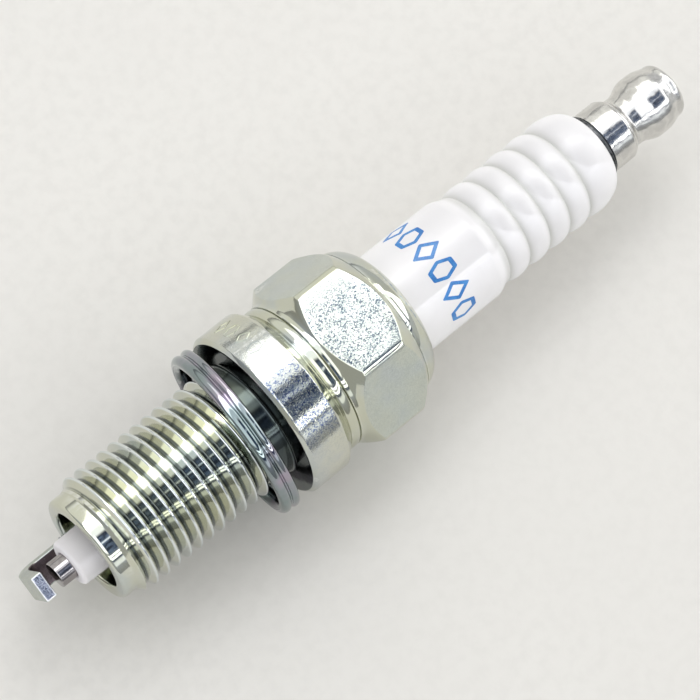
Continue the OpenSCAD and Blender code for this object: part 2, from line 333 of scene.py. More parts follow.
class Graph:
    """A node tree that is filled node by node."""

    def __init__(self, tree: bpy.types.NodeTree) -> None:
        """Keeps the tree to fill."""
        self.tree = tree

    def add(self, kind: str, values: dict | None = None, **settings: Any) -> bpy.types.Node:
        """Adds a node.

        Args:
            kind: The node's type, without its ShaderNode prefix.
            values: Inputs by name or number, each a value or a socket to link.
            settings: Properties of the node.

        Returns:
            The new node.
        """
        node = self.tree.nodes.new("ShaderNode" + kind)
        for key, value in settings.items():
            setattr(node, key, value)
        for key, value in (values or {}).items():
            self.feed(node.inputs[key], value)
        return node

    def feed(self, socket: bpy.types.NodeSocket, value: Any) -> None:
        """Links a socket to an input, or sets the input's value."""
        if isinstance(value, bpy.types.NodeSocket):
            self.tree.links.new(value, socket)
        elif isinstance(value, tuple) and len(value) == 3 and socket.type == "RGBA":
            socket.default_value = (*value, 1.0)
        else:
            socket.default_value = value

    def math(self, operation: str, a: Any, b: Any = 0.0) -> bpy.types.NodeSocket:
        """Output of a Math node with one or two inputs."""
        return self.add("Math", {0: a, 1: b}, operation=operation).outputs[0]

    def times(self, a: Any, b: Any) -> bpy.types.NodeSocket:
        """Product of two values."""
        return self.math("MULTIPLY", a, b)

    def plus(self, a: Any, b: Any) -> bpy.types.NodeSocket:
        """Sum of two values."""
        return self.math("ADD", a, b)

    def minus(self, a: Any, b: Any) -> bpy.types.NodeSocket:
        """Difference of two values."""
        return self.math("SUBTRACT", a, b)

    def over(self, a: Any, b: Any) -> bpy.types.NodeSocket:
        """Ratio of two values."""
        return self.math("DIVIDE", a, b)

    def blend(self, share: Any, a: Any, b: Any) -> bpy.types.NodeSocket:
        """Colour that goes from a to b by a share."""
        node = self.add("Mix", data_type="RGBA")
        for number, value in ((0, share), (6, a), (7, b)):
            self.feed(node.inputs[number], value)
        return node.outputs[2]

    def noise(self, vector: Any, scale: float, detail: float = 2.0, **values: Any) -> bpy.types.NodeSocket:
        """Value of a noise texture over a vector."""
        inputs = {"Vector": vector, "Scale": scale, "Detail": detail, **values}
        return self.add("TexNoise", inputs).outputs["Fac"]

    def ramp(self, value: Any, low: Any, high: Any, start: Any = 0.0, end: Any = 1.0) -> bpy.types.NodeSocket:
        """Smooth step of a value from start to end between low and high."""
        inputs = {"Value": value, "From Min": low, "From Max": high, "To Min": start, "To Max": end}
        return self.add("MapRange", inputs, interpolation_type="SMOOTHSTEP").outputs["Result"]


class Effect(Enum):
    """Shared effects, each a node group that is built once."""

    AXIS = "axis_coordinates"
    RINGS = "turned_rings"
    FLECKS = "struck_flecks"
    TINT = "plating_tint"
    SCRATCHES = "fine_scratches"
    DUST = "dust_specks"
    WEAR = "edge_wear"


class EffectShelf:
    """Builds the shared node groups and places them in materials."""

    def __init__(self, place: Place) -> None:
        """Keeps the plug's place, which the axis coordinates start from."""
        self.place = place
        self.made: dict[Effect, bpy.types.NodeTree] = {}

    def use(self, graph: Graph, effect: Effect, **values: Any) -> bpy.types.Node:
        """Places an effect in a material.

        Args:
            graph: The material's nodes.
            effect: The effect to place.
            values: Its inputs by name, with _ for a space.

        Returns:
            The group node.
        """
        if effect not in self.made:
            self.made[effect] = getattr(self, "_" + effect.value)()
        node = graph.tree.nodes.new("ShaderNodeGroup")
        node.node_tree = self.made[effect]
        for key, value in values.items():
            graph.feed(node.inputs[key.replace("_", " ")], value)
        return node

    @staticmethod
    def _start(name: str, inputs: dict[str, Any], outputs: dict[str, str]) -> tuple:
        """Starts a group with named sockets.

        Args:
            name: The group's name.
            inputs: Default of each input, which also says its type.
            outputs: Type of each output: Float, Color or Vector.

        Returns:
            The group, its graph, its input sockets and its output node.
        """
        tree = bpy.data.node_groups.new(name, "ShaderNodeTree")
        for key, value in inputs.items():
            kind = "Float" if isinstance(value, float) else "Color" if len(value) == 4 else "Vector"
            socket = tree.interface.new_socket(key, in_out="INPUT", socket_type="NodeSocket" + kind)
            socket.default_value = value
        for key, kind in outputs.items():
            tree.interface.new_socket(key, in_out="OUTPUT", socket_type="NodeSocket" + kind)
        graph = Graph(tree)
        start = tree.nodes.new("NodeGroupInput")
        return tree, graph, start.outputs, tree.nodes.new("NodeGroupOutput")

    def _axis_coordinates(self) -> bpy.types.NodeTree:
        """Station, radius and turn of a point, in millimetres and radians."""
        outputs = {"Station": "Float", "Radius": "Float", "Turn": "Float"}
        tree, graph, given, out = self._start("axis_coordinates", {"Vector": (0.0, 0.0, 0.0)}, outputs)
        parts = graph.add("SeparateXYZ", {0: given["Vector"]}).outputs
        station = graph.times(graph.minus(parts[0], self.place.seat_x), 1 / MM)
        height = graph.minus(parts[2], self.place.axis_z)
        squares = graph.plus(graph.times(parts[1], parts[1]), graph.times(height, height))
        graph.feed(out.inputs["Station"], station)
        graph.feed(out.inputs["Radius"], graph.times(graph.math("SQRT", squares), 1 / MM))
        graph.feed(out.inputs["Turn"], graph.math("ARCTAN2", parts[1], height))
        return tree

    def _turned_rings(self) -> bpy.types.NodeTree:
        """Fine rings that a turning tool leaves, uneven in depth."""
        inputs = {"Station": 0.0, "Radius": 0.0, "Turn": 0.0, "Spacing": 0.06, "Waver": 0.5}
        tree, graph, given, out = self._start("turned_rings", inputs, {"Height": "Float", "Mask": "Float"})
        run = graph.plus(given["Station"], given["Radius"])
        lane = graph.over(run, given["Spacing"])
        wavering = graph.times(given["Turn"], given["Waver"])
        drift = graph.add("CombineXYZ", {0: lane, 1: wavering}).outputs[0]
        fine = graph.noise(drift, 1.0, 3.0)
        coarse = graph.noise(drift, 0.23, 1.0)
        graph.feed(out.inputs["Height"], graph.times(fine, coarse))
        graph.feed(out.inputs["Mask"], graph.ramp(coarse, 0.45, 0.62))
        return tree

    def _struck_flecks(self) -> bpy.types.NodeTree:
        """Small flat dimples that a forming tool leaves in a satin face."""
        inputs = {"Vector": (0.0, 0.0, 0.0), "Size": 0.15, "Cover": 0.5}
        tree, graph, given, out = self._start("struck_flecks", inputs, {"Height": "Float", "Mask": "Float"})
        scale = graph.over(1 / MM, given["Size"])
        cells = graph.add("TexVoronoi", {"Vector": given["Vector"], "Scale": scale, "Randomness": 1.0})
        tone = graph.add("SeparateColor", {0: cells.outputs["Color"]}).outputs[0]
        grain = graph.noise(given["Vector"], scale, 2.0)
        patch = graph.noise(given["Vector"], graph.times(scale, 0.12), 2.0)
        level = graph.plus(tone, graph.times(graph.minus(patch, 0.5), 1.6))
        mask = graph.ramp(level, *(graph.minus(top, given["Cover"]) for top in (1.0, 1.15)))
        graph.feed(out.inputs["Mask"], graph.times(mask, graph.ramp(grain, 0.35, 0.6)))
        graph.feed(out.inputs["Height"], graph.plus(graph.times(tone, 0.6), grain))
        return tree

    def _plating_tint(self) -> bpy.types.NodeTree:
        """Plating colour that drifts between two faint tints."""
        inputs = {
            "Vector": (0.0, 0.0, 0.0), "Base": (0.8, 0.8, 0.8, 1.0), "First": (0.8, 0.8, 0.7, 1.0),
            "Second": (0.75, 0.72, 0.8, 1.0), "Size": 6.0, "Amount": 0.5,
        }
        tree, graph, given, out = self._start("plating_tint", inputs, {"Color": "Color", "Drift": "Float"})
        scale = graph.over(1 / MM, given["Size"])
        drift = graph.noise(given["Vector"], scale, 3.0)
        first = graph.times(graph.ramp(drift, 0.42, 0.62), given["Amount"])
        second = graph.times(graph.ramp(drift, 0.5, 0.34), given["Amount"])
        warm = graph.blend(first, given["Base"], given["First"])
        graph.feed(out.inputs["Color"], graph.blend(second, warm, given["Second"]))
        graph.feed(out.inputs["Drift"], drift)
        return tree

    def _fine_scratches(self) -> bpy.types.NodeTree:
        """Hairline handling scratches along two directions."""
        inputs = {"Vector": (0.0, 0.0, 0.0), "Size": 2.0, "Density": 0.3}
        tree, graph, given, out = self._start("fine_scratches", inputs, {"Height": "Float", "Mask": "Float"})
        scale = graph.over(1 / MM, given["Size"])
        lines = []
        for turn, stretch in ((0.5, (0.5, 22.0, 6.0)), (-0.9, (18.0, 0.6, 9.0))):
            values = {"Vector": given["Vector"], "Rotation": (0.4, 0.2, turn), "Scale": stretch}
            level = graph.noise(graph.add("Mapping", values).outputs[0], scale, 1.0)
            lines.append(graph.ramp(level, graph.minus(0.8, graph.times(given["Density"], 0.2)), 0.84))
        mask = graph.math("MAXIMUM", lines[0], lines[1])
        graph.feed(out.inputs["Mask"], mask)
        graph.feed(out.inputs["Height"], graph.minus(0.0, mask))
        return tree

    def _dust_specks(self) -> bpy.types.NodeTree:
        """Sparse small specks of dust or pits in a surface."""
        inputs = {"Vector": (0.0, 0.0, 0.0), "Size": 0.2, "Spacing": 2.0}
        tree, graph, given, out = self._start("dust_specks", inputs, {"Mask": "Float"})
        scale = graph.over(1 / MM, given["Spacing"])
        cells = graph.add("TexVoronoi", {"Vector": given["Vector"], "Scale": scale, "Randomness": 1.0})
        reach = graph.over(given["Size"], given["Spacing"])
        away = graph.ramp(cells.outputs["Distance"], graph.times(reach, 0.5), reach)
        chance = graph.add("SeparateColor", {0: cells.outputs["Color"]}).outputs[1]
        graph.feed(out.inputs["Mask"], graph.times(graph.minus(1.0, away), graph.ramp(chance, 0.7, 0.95)))
        return tree

    def _edge_wear(self) -> bpy.types.NodeTree:
        """Edges rubbed bright, broken up by noise."""
        inputs = {"Vector": (0.0, 0.0, 0.0), "Pointiness": 0.5, "Amount": 0.5}
        tree, graph, given, out = self._start("edge_wear", inputs, {"Mask": "Float"})
        edge = graph.ramp(given["Pointiness"], 0.515, 0.56)
        breakup = graph.ramp(graph.noise(given["Vector"], 2.5 / MM, 4.0), 0.3, 0.6)
        graph.feed(out.inputs["Mask"], graph.times(graph.times(edge, breakup), given["Amount"]))
        return tree


class Canvas:
    """A new material with its shader, coordinates and effects at hand."""

    def __init__(self, name: str, shelf: EffectShelf) -> None:
        """Starts a material with a Principled shader.

        Args:
            name: The material's name.
            shelf: The shared effects.
        """
        self.material = bpy.data.materials.new(name)
        self.material.use_nodes = True
        self.graph = Graph(self.material.node_tree)
        self.shader = self.material.node_tree.nodes["Principled BSDF"]
        self.shelf = shelf
        self.vector = self.graph.add("TexCoord").outputs["Object"]
        self._axis: bpy.types.Node | None = None

    def effect(self, effect: Effect, **values: Any) -> bpy.types.Node:
        """Places a shared effect."""
        return self.shelf.use(self.graph, effect, **values)

    @property
    def axis(self) -> Any:
        """Outputs for station, radius and turn."""
        if self._axis is None:
            self._axis = self.effect(Effect.AXIS, Vector=self.vector)
        return self._axis.outputs

    def rings(self, spacing: float, waver: float = 0.5) -> Any:
        """Outputs of the turned rings."""
        values = {key: self.axis[key] for key in ("Station", "Radius", "Turn")}
        return self.effect(Effect.RINGS, Spacing=spacing, Waver=waver, **values).outputs

    def metal(self, spacing: float, scratches: tuple[float, float], wear: float, **tint: Any) -> tuple:
        """Places what every metal surface has.

        Args:
            spacing: Distance between turned rings.
            scratches: Size and density of the hairlines.
            wear: Amount of bright wear on the edges.
            tint: Inputs of the tint.

        Returns:
            Outputs of the tint, the rings and the scratches, and the mask of the wear.
        """
        size, density = scratches
        points = self.graph.add("NewGeometry").outputs["Pointiness"]
        return (self.effect(Effect.TINT, Vector=self.vector, **tint).outputs, self.rings(spacing),
                self.effect(Effect.SCRATCHES, Vector=self.vector, Size=size, Density=density).outputs,
                self.effect(Effect.WEAR, Vector=self.vector, Pointiness=points, Amount=wear).outputs["Mask"])

    def set(self, **values: Any) -> None:
        """Sets or links the shader's inputs by name, with _ for a space."""
        for key, value in values.items():
            self.graph.feed(self.shader.inputs[key.replace("_", " ")], value)

    def relief(self, *layers: tuple[Any, float]) -> None:
        """Stacks bumps into the shader's normal.

        Args:
            layers: Each a height and its depth in millimetres.
        """
        normal = None
        for height, depth in layers:
            values = {"Height": height, "Distance": depth * MM, "Strength": 1.0}
            if normal is not None:
                values["Normal"] = normal
            normal = self.graph.add("Bump", values).outputs[0]
        self.set(Normal=normal)


@dataclass(frozen=True)
class PlatedSteel:
    """Bright zinc plate on turned or struck steel."""

    name: str
    base: Colour = (0.58, 0.60, 0.52)
    warm: Colour = (0.58, 0.58, 0.44)
    cool: Colour = (0.48, 0.52, 0.56)
    tint: float = 0.55
    tint_size: float = 5.0
    roughness: float = 0.10
    ring_spacing: float = 0.07
    ring_depth: float = 0.0008
    fleck_size: float = 0.0
    fleck_depth: float = 0.0
    fleck_cover: float = 0.0
    fleck_centre: float = 0.0
    fleck_reach: float = 25.0
    fleck_floor: float = 0.14
    # Painted highlight colour for the thread's crests, and painted shade colour for its roots.
    crest_highlight_tone: Colour | None = None
    root_shade_tone: Colour = (0.10, 0.115, 0.105)
    rubbed: Colour = (0.86, 0.87, 0.86)
    # Dark blue colour of the dimples: a painted reflection.
    fleck_reflection_tone: Colour = (0.15, 0.20, 0.29)
    wear: float = 0.5
    wave: float = 0.012

    def build(self, shelf: EffectShelf) -> bpy.types.Material:
        """Builds the material."""
        canvas = Canvas(self.name, shelf)
        graph = canvas.graph
        tint, rings, scratches, wear = canvas.metal(
            self.ring_spacing, (2.5, 0.25), self.wear, Base=self.base, First=self.warm, Second=self.cool,
            Size=self.tint_size, Amount=self.tint)
        colour = tint["Color"]
        rough = graph.ramp(tint["Drift"], 0.3, 0.7, self.roughness * 0.8, self.roughness * 1.25)
        swells = graph.noise(canvas.vector, 0.7 / MM, 1.0)
        layers = [(swells, self.wave), (rings["Height"], self.ring_depth), (scratches["Height"], 0.0012)]
        if self.fleck_size:
            flecks = canvas.effect(Effect.FLECKS, Vector=canvas.vector, Size=self.fleck_size,
                                   Cover=self.fleck_cover).outputs
            # The dimples are coloured dark blue as a painted reflection, densest round the fleck centre's
            # turn.
            off = graph.math("ABSOLUTE", graph.minus(canvas.axis["Turn"], math.radians(self.fleck_centre)))
            reach = math.radians(self.fleck_reach)
            near = graph.ramp(off, reach * 1.3, reach * 0.7, self.fleck_floor, 1.0)
            colour = graph.blend(graph.times(flecks["Mask"], near), colour, self.fleck_reflection_tone)
            layers.append((flecks["Height"], self.fleck_depth))
        # Painted shade darkens the thread's roots and a painted highlight lightens its crests, both set by
        # radius.
        if self.crest_highlight_tone:
            screw = ThreadSizes()
            root_shade_share = graph.ramp(canvas.axis["Radius"], screw.root_r + 0.13, screw.root_r + 0.01)
            on_thread = graph.ramp(canvas.axis["Station"], screw.front + 0.5, screw.front + 0.9)
            colour = graph.blend(graph.times(root_shade_share, on_thread), colour, self.root_shade_tone)
            crest = graph.ramp(canvas.axis["Radius"], screw.crest_r - 0.14, screw.crest_r - 0.05)
            colour = graph.blend(crest, colour, self.crest_highlight_tone)
        colour = graph.blend(wear, colour, self.rubbed)
        rough = graph.plus(rough, graph.times(scratches["Mask"], 0.08))
        canvas.set(Base_Color=colour, Metallic=1.0, Roughness=rough)
        canvas.relief(*layers)
        return canvas.material


@dataclass(frozen=True)
class BareMetal:
    """Unplated or nickel metal with turning marks, grain and a little tarnish."""

    name: str
    base: Colour
    tarnish: Colour
    tarnish_size: float = 2.0
    roughness: float = 0.2
    ring_spacing: float = 0.05
    ring_depth: float = 0.001
    grain: float = 0.001
    grain_size: float = 0.08
    wear: float = 0.4
    wave: float = 0.006

    def build(self, shelf: EffectShelf) -> bpy.types.Material:
        """Builds the material."""
        canvas = Canvas(self.name, shelf)
        graph = canvas.graph
        tint, rings, scratches, wear = canvas.metal(
            self.ring_spacing, (1.5, 0.5), self.wear, Base=self.base, First=self.tarnish, Second=self.tarnish,
            Size=self.tarnish_size, Amount=0.8)
        grain = graph.noise(canvas.vector, 1 / MM / self.grain_size, 3.0)
        colour = graph.blend(graph.times(scratches["Mask"], 0.4), tint["Color"], (0.9, 0.9, 0.9))
        colour = graph.blend(wear, colour, (0.92, 0.92, 0.9))
        rough = graph.ramp(grain, 0.3, 0.7, self.roughness * 0.75, self.roughness * 1.3)
        canvas.set(Base_Color=colour, Metallic=1.0, Roughness=rough)
        swells = graph.noise(canvas.vector, 0.9 / MM, 1.0)
        canvas.relief((swells, self.wave), (rings["Height"], self.ring_depth), (grain, self.grain),
                      (scratches["Height"], 0.001))
        return canvas.material


@dataclass(frozen=True)
class Porcelain:
    """Alumina: glossy white glaze behind the shell, matt and bare at the nose."""

    name: str
    glaze: Colour = (0.83, 0.82, 0.83)
    bare: Colour = (0.84, 0.82, 0.83)
    glazed_from: float = 10.0
    # Grey of the painted shade in the rib valleys.
    valley_shade_tone: Colour = (0.60, 0.60, 0.57)
    pit_tone: Colour = (0.30, 0.29, 0.28)
    dust_tone: Colour = (0.55, 0.53, 0.50)
    crest_r: float = 5.05
    valley_depth: float = 0.40
    ribs_from: float = 25.6
    ribs_to: float = 38.2

    def build(self, shelf: EffectShelf) -> bpy.types.Material:
        """Builds the material."""
        canvas = Canvas(self.name, shelf)
        graph = canvas.graph
        glazed = graph.ramp(canvas.axis["Station"], self.glazed_from - 0.5, self.glazed_from + 0.5)
        cloud = graph.noise(canvas.vector, 0.35 / MM, 3.0)
        white = graph.blend(graph.ramp(cloud, 0.35, 0.65), self.glaze, tuple(c * 0.975 for c in self.glaze))
        pits = canvas.effect(Effect.DUST, Vector=canvas.vector, Size=0.22, Spacing=4.5).outputs["Mask"]
        dust = canvas.effect(Effect.DUST, Vector=canvas.vector, Size=0.05, Spacing=0.7).outputs["Mask"]
        station = canvas.axis["Station"]
        # Painted shade darkens the rib valleys, from the first rib to the crown.
        valley = graph.ramp(canvas.axis["Radius"], self.crest_r - 0.02, self.crest_r - self.valley_depth)
        on_ribs = graph.ramp(station, self.ribs_from, self.ribs_from + 0.4)
        before_crown = graph.ramp(station, self.ribs_to, self.ribs_to - 0.6)
        shade = graph.times(valley, graph.times(on_ribs, before_crown))
        white = graph.blend(graph.times(shade, 0.8), white, self.valley_shade_tone)
        colour = graph.blend(glazed, self.bare, white)
        colour = graph.blend(graph.times(pits, 0.55), colour, self.pit_tone)
        colour = graph.blend(graph.times(dust, 0.25), colour, self.dust_tone)
        fired = graph.noise(canvas.vector, 14 / MM, 3.0)
        peel = graph.noise(canvas.vector, 1.1 / MM, 2.0)
        rough = graph.ramp(glazed, 0.0, 1.0, 0.85, 0.30)
        bare_relief = graph.times(fired, graph.minus(1.0, glazed))
        canvas.set(Base_Color=colour, Roughness=graph.plus(rough, graph.times(cloud, 0.05)))
        canvas.set(Coat_Weight=graph.times(glazed, 0.35))
        canvas.shader.inputs["Coat Roughness"].default_value = 0.08
        canvas.shader.inputs["IOR"].default_value = 1.55
        canvas.relief((peel, 0.012), (bare_relief, 0.006), (pits, 0.01))
        return canvas.material


@dataclass(frozen=True)
class DullSolid:
    """Powder, glass, carbon or ink: a body colour with grain of its own."""

    name: str
    base: Colour
    second: Colour
    roughness: float = 0.6
    grain_size: float = 0.1
    grain: float = 0.004
    coat: float = 0.0

    def build(self, shelf: EffectShelf) -> bpy.types.Material:
        """Builds the material."""
        canvas = Canvas(self.name, shelf)
        graph = canvas.graph
        grain = graph.noise(canvas.vector, 1 / MM / self.grain_size, 4.0)
        patch = graph.noise(canvas.vector, 0.12 / MM / self.grain_size, 3.0)
        colour = graph.blend(graph.ramp(graph.times(graph.plus(grain, patch), 0.5), 0.4, 0.6),
                             self.base, self.second)
        dust = canvas.effect(Effect.DUST, Vector=canvas.vector, Size=self.grain_size * 0.6,
                             Spacing=self.grain_size * 5)
        colour = graph.blend(graph.times(dust.outputs["Mask"], 0.3), colour, (0.6, 0.6, 0.58))
        rough = graph.ramp(grain, 0.2, 0.8, self.roughness * 0.85, self.roughness)
        canvas.set(Base_Color=colour, Roughness=rough)
        canvas.shader.inputs["Coat Weight"].default_value = self.coat
        canvas.relief((grain, self.grain))
        return canvas.material


@dataclass(frozen=True)
class Paper:
    """Pale warm table top with a faint weave of grain."""

    name: str
    base: Colour = (0.80, 0.785, 0.745)

    def build(self, shelf: EffectShelf) -> bpy.types.Material:
        """Builds the material."""
        canvas = Canvas(self.name, shelf)
        graph = canvas.graph
        cloud = graph.noise(canvas.vector, 0.02 / MM, 4.0)
        grain = graph.noise(canvas.vector, 0.8 / MM, 5.0)
        pale = graph.blend(graph.ramp(cloud, 0.3, 0.7), self.base, tuple(c * 0.97 for c in self.base))
        colour = graph.blend(graph.ramp(grain, 0.35, 0.75), pale, tuple(c * 0.95 for c in self.base))
        canvas.set(Base_Color=colour, Roughness=graph.ramp(grain, 0.3, 0.7, 0.5, 0.62))
        canvas.relief((grain, 0.02))
        return canvas.material


FINISHES = {
    # The thread finish has a painted highlight on its crests and painted shade in its roots.
    "thread": PlatedSteel("zinc_thread", (0.60, 0.62, 0.55), (0.61, 0.61, 0.47), (0.50, 0.55, 0.56),
                          ring_spacing=0.05, wave=0.005, roughness=0.08, crest_highlight_tone=(0.72, 0.76, 0.76)),
    "polished": PlatedSteel("zinc_polished", roughness=0.07),
    # Flats and rim show their dimples in a dark blue painted reflection.
    "flats": PlatedSteel("zinc_satin_flats", (0.56, 0.60, 0.55), (0.58, 0.59, 0.50), roughness=0.13,
                         fleck_size=0.13, fleck_depth=0.026, fleck_cover=0.58, fleck_centre=-4,
                         fleck_reflection_tone=(0.085, 0.115, 0.145), tint=0.4),
    "rim": PlatedSteel("zinc_satin_rim", (0.60, 0.61, 0.54), (0.61, 0.61, 0.48), roughness=0.05,
                       fleck_size=0.12, fleck_depth=0.007, fleck_cover=0.50, fleck_centre=-20,
                       fleck_reach=26, fleck_reflection_tone=(0.14, 0.19, 0.33), tint=0.4),
    # Near-black painted shade for the shank and seat face hidden behind the gasket.
    "shaded": PlatedSteel("zinc_undercut_painted_shade", (0.07, 0.085, 0.08), (0.10, 0.11, 0.08), (0.05, 0.06, 0.07),
                          roughness=0.14, wear=0.1),
    "gasket": PlatedSteel("zinc_gasket", (0.31, 0.33, 0.36), (0.22, 0.28, 0.27), (0.40, 0.34, 0.41),
                          roughness=0.05, tint_size=4.0, tint=0.8),
    "strap": BareMetal("strap_nickel_worked", (0.50, 0.53, 0.47), (0.42, 0.45, 0.43), roughness=0.34,
                       ring_spacing=0.04, grain=0.004),
    # Inner side of the leg, facing the nose: painted shade in a dark purple-brown.
    "strap_inner": BareMetal("strap_nickel_inner_painted_shade", (0.16, 0.13, 0.13), (0.09, 0.07, 0.08),
                             roughness=0.34, grain=0.006, wear=0.1),
    "strap_end": BareMetal("strap_nickel_sheared", (0.52, 0.55, 0.62), (0.20, 0.22, 0.30), roughness=0.26,
                           ring_spacing=0.02, grain=0.03, grain_size=0.14, tarnish_size=0.35),
    "burr": BareMetal("strap_nickel_burr", (0.94, 0.95, 0.97), (0.90, 0.90, 0.92), roughness=0.4),
    "electrode": BareMetal("electrode_nickel_turned", (0.40, 0.38, 0.38), (0.26, 0.24, 0.24),
                           roughness=0.10),
    "nut": BareMetal("terminal_nickel_polished", (0.73, 0.72, 0.69), (0.54, 0.53, 0.51), roughness=0.16,
                     ring_spacing=0.12, ring_depth=0.003, grain=0.003, grain_size=0.25, wave=0.05),
    # Near-black stud: painted shade and painted dark reflection for the ring under the nut.
    "stud": BareMetal("stud_steel_painted_shade", (0.045, 0.05, 0.055), (0.03, 0.03, 0.033), roughness=0.42,
                      wear=0.1),
    "packing": BareMetal("packing_steel_drawn", (0.50, 0.50, 0.50), (0.38, 0.37, 0.36), roughness=0.35),
    "copper": BareMetal("copper_drawn", (0.78, 0.42, 0.28), (0.55, 0.28, 0.18), roughness=0.28),
    "weld": BareMetal("weld_flash", (0.34, 0.35, 0.36), (0.16, 0.17, 0.22), roughness=0.3, grain=0.02),
    "glass": DullSolid("glass_seal_fused", (0.05, 0.048, 0.046), (0.14, 0.10, 0.07), 0.35, 0.12, coat=0.4,
                       grain=0.003),
    "resistor": DullSolid("resistor_carbon", (0.018, 0.018, 0.019), (0.06, 0.06, 0.062), 0.7, 0.1),
    "talc": DullSolid("talc_packed", (0.86, 0.84, 0.79), (0.76, 0.74, 0.68), 0.95, 0.14, grain=0.01),
    "ink": DullSolid("ink_blue", (0.02, 0.16, 0.47), (0.05, 0.25, 0.60), 0.42, 0.10, grain=0.001, coat=0.3),
    "porcelain": Porcelain("alumina_glazed"),
    "paper": Paper("table_paper"),
}


class Finishes:
    """Every finish of the plug, built once."""

    def __init__(self, place: Place) -> None:
        """Builds the materials.

        Args:
            place: The plug's place, which the patterns start from.
        """
        shelf = EffectShelf(place)
        self.made = {key: finish.build(shelf) for key, finish in FINISHES.items()}

    def __getitem__(self, key: str) -> bpy.types.Material:
        """Material of a finish by its short name."""
        return self.made[key]


class Piece:
    """What every sub-assembly shares: its bench, its finishes and its report."""

    def __init__(self, bench: Bench, finishes: Finishes) -> None:
        """Keeps the bench and the finishes."""
        self.bench = bench
        self.place = bench.place
        self.finishes = finishes

    def hand_over(self, obj: bpy.types.Object, body: str, slot: str, *nodes: str) -> bpy.types.Object:
        """Puts a finished piece on its body and reports it.

        Args:
            obj: The finished piece.
            body: The body that it rides on.
            slot: The record's material slot; not used.
            nodes: CAD nodes that it stands for.

        Returns:
            The same piece.
        """
        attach(obj, body)
        if nodes:
            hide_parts(*nodes)
        obj.data.calc_loop_triangles()
        log.info("piece %s on %s, %d triangles", obj.name, body, len(obj.data.loop_triangles))
        return obj


@dataclass(frozen=True)
class ThreadSizes:
    """Rolled thread of the shell."""

    pitch: float = 1.25
    crest_r: float = 6.0
    root_r: float = 5.23
    crest_round: float = 0.13
    crest_at: float = -16.182
    front: float = -17.62
    rear: float = -1.95
    shank_r: float = 5.65
    columns: int = 144

    def profile(self) -> list[tuple[float, float]]:
        """One pitch of the thread: half root, flank, crest, flank, half root."""
        root_round = 0.3125 - self.crest_round
        crest = arc((0.0, self.crest_r - self.crest_round), (self.crest_round,) * 2, 150, 30, 6)
        root = arc((0.0, self.root_r + root_round), (root_round,) * 2, 270, 330, 3)
        half = self.pitch / 2
        rising = [(s - half, r) for s, r in root]
        falling = [(-s, r) for s, r in reversed(rising)]
        return [*rising, *crest, *falling]

    def radius_at(self, station: float, radius: float) -> float:
        """Radius with the thread's run-in and run-out.

        Args:
            station: Where along the plug.
            radius: The full thread's radius there.

        Returns:
            The radius after the chamfered start and the faded end.
        """
        start = self.root_r + max(0.0, station - self.front - 0.02) * 0.9
        radius = min(radius, start) - 0.02 * Ease.SMOOTH.share(1 - abs(radius - start) / 0.15)
        radius = max(radius, self.root_r) if station < self.front + 1 else radius
        fade = Ease.SMOOTH.share((self.rear - station) / 0.8)
        return self.shank_r + (radius - self.shank_r) * fade


@dataclass(frozen=True)
class HexSizes:
    """Hexagon with turned corners and a chamfer at both ends."""

    flat_r: float = 7.9
    corner_r: float = 8.951
    foot: float = 6.6
    foot_r: float = 7.65
    front: float = 7.85
    rear: float = 12.45
    end: float = 14.0
    end_r: float = 7.577
    edge: float = 0.09
    rows: int = 15

    def spacing(self) -> float:
        """Distance between rows before they are pressed."""
        return (self.end - self.foot) / (self.rows - 1)

    def blank(self) -> list[tuple[float, float]]:
        """Rows of the round blank, from the rear end to the foot."""
        last = self.rows - 1
        return [(self.foot + self.spacing() * (last - i), self.foot_r + 0.4) for i in range(self.rows)]

    def radius(self, turn: float) -> float:
        """Distance of the pressed side from the axis at a turn in degrees."""
        off = math.radians((turn + 30) % 60 - 30)
        flat, corner = self.flat_r / math.cos(off), self.corner_r
        gap = max(0.0, 0.05 - abs(flat - corner)) / 0.05
        return min(flat, corner) - gap * gap * 0.05 / 4

    def press(self, row: int, turn: float) -> tuple[float, float]:
        """Station and radius of a row once it is pressed.

        Args:
            row: Row number from the foot.
            turn: Turn of the column in degrees.

        Returns:
            The station and radius.
        """
        r = self.radius(turn)
        front_rise = (self.front - self.foot) / (self.corner_r - self.foot_r)
        rear_rise = (self.end - self.rear) / (self.corner_r - self.end_r)
        s_front = self.foot + (r - self.foot_r) * front_rise
        s_rear = self.end - (r - self.end_r) * rear_rise
        front_edge, rear_edge = s_front + self.edge, s_rear - self.edge
        span = rear_edge - front_edge
        cone_front = self.foot_r + (s_front - self.edge - self.foot) / front_rise
        cone_rear = self.end_r + (self.end - s_rear - self.edge) / rear_rise
        stops = [
            (self.foot, self.foot_r), ((self.foot + s_front - self.edge) / 2, (self.foot_r + cone_front) / 2),
            (s_front - self.edge, cone_front), (s_front, r - 0.028), (front_edge, r),
            *[(front_edge + span * k / 6, r) for k in range(1, 6)],
            (rear_edge, r), (s_rear, r - 0.028), (s_rear + self.edge, cone_rear),
            ((self.end + s_rear + self.edge) / 2, (self.end_r + cone_rear) / 2), (self.end, self.end_r),
        ]
        return stops[row]


@dataclass(frozen=True)
class ShellSizes:
    """Turned body of the shell, outside and inside."""

    reach: float = 19.0
    mouth_r: float = 3.9
    mouth_end: float = -8.25
    ledge_front: float = -7.8
    ledge_rear: float = -6.6
    ledge_r: float = 3.45
    bore_front: float = -5.8
    bore_rear: float = 2.65
    bore_r: float = 4.25
    chamber_front: float = 4.9
    chamber_r: float = 6.5
    end_round: float = 0.42
    flange_r: float = 8.45
    flange_rear: float = 3.95
    flange_chamfer: float = 0.4
    waist_r: float = 7.6
    waist_front: float = 5.06
    waist_rear: float = 6.1
    lip_end: float = 16.15
    lip_bore_r: float = 5.35
    lip_from: float = 13.6
    columns: int = 240
    crowding: float = 0.7


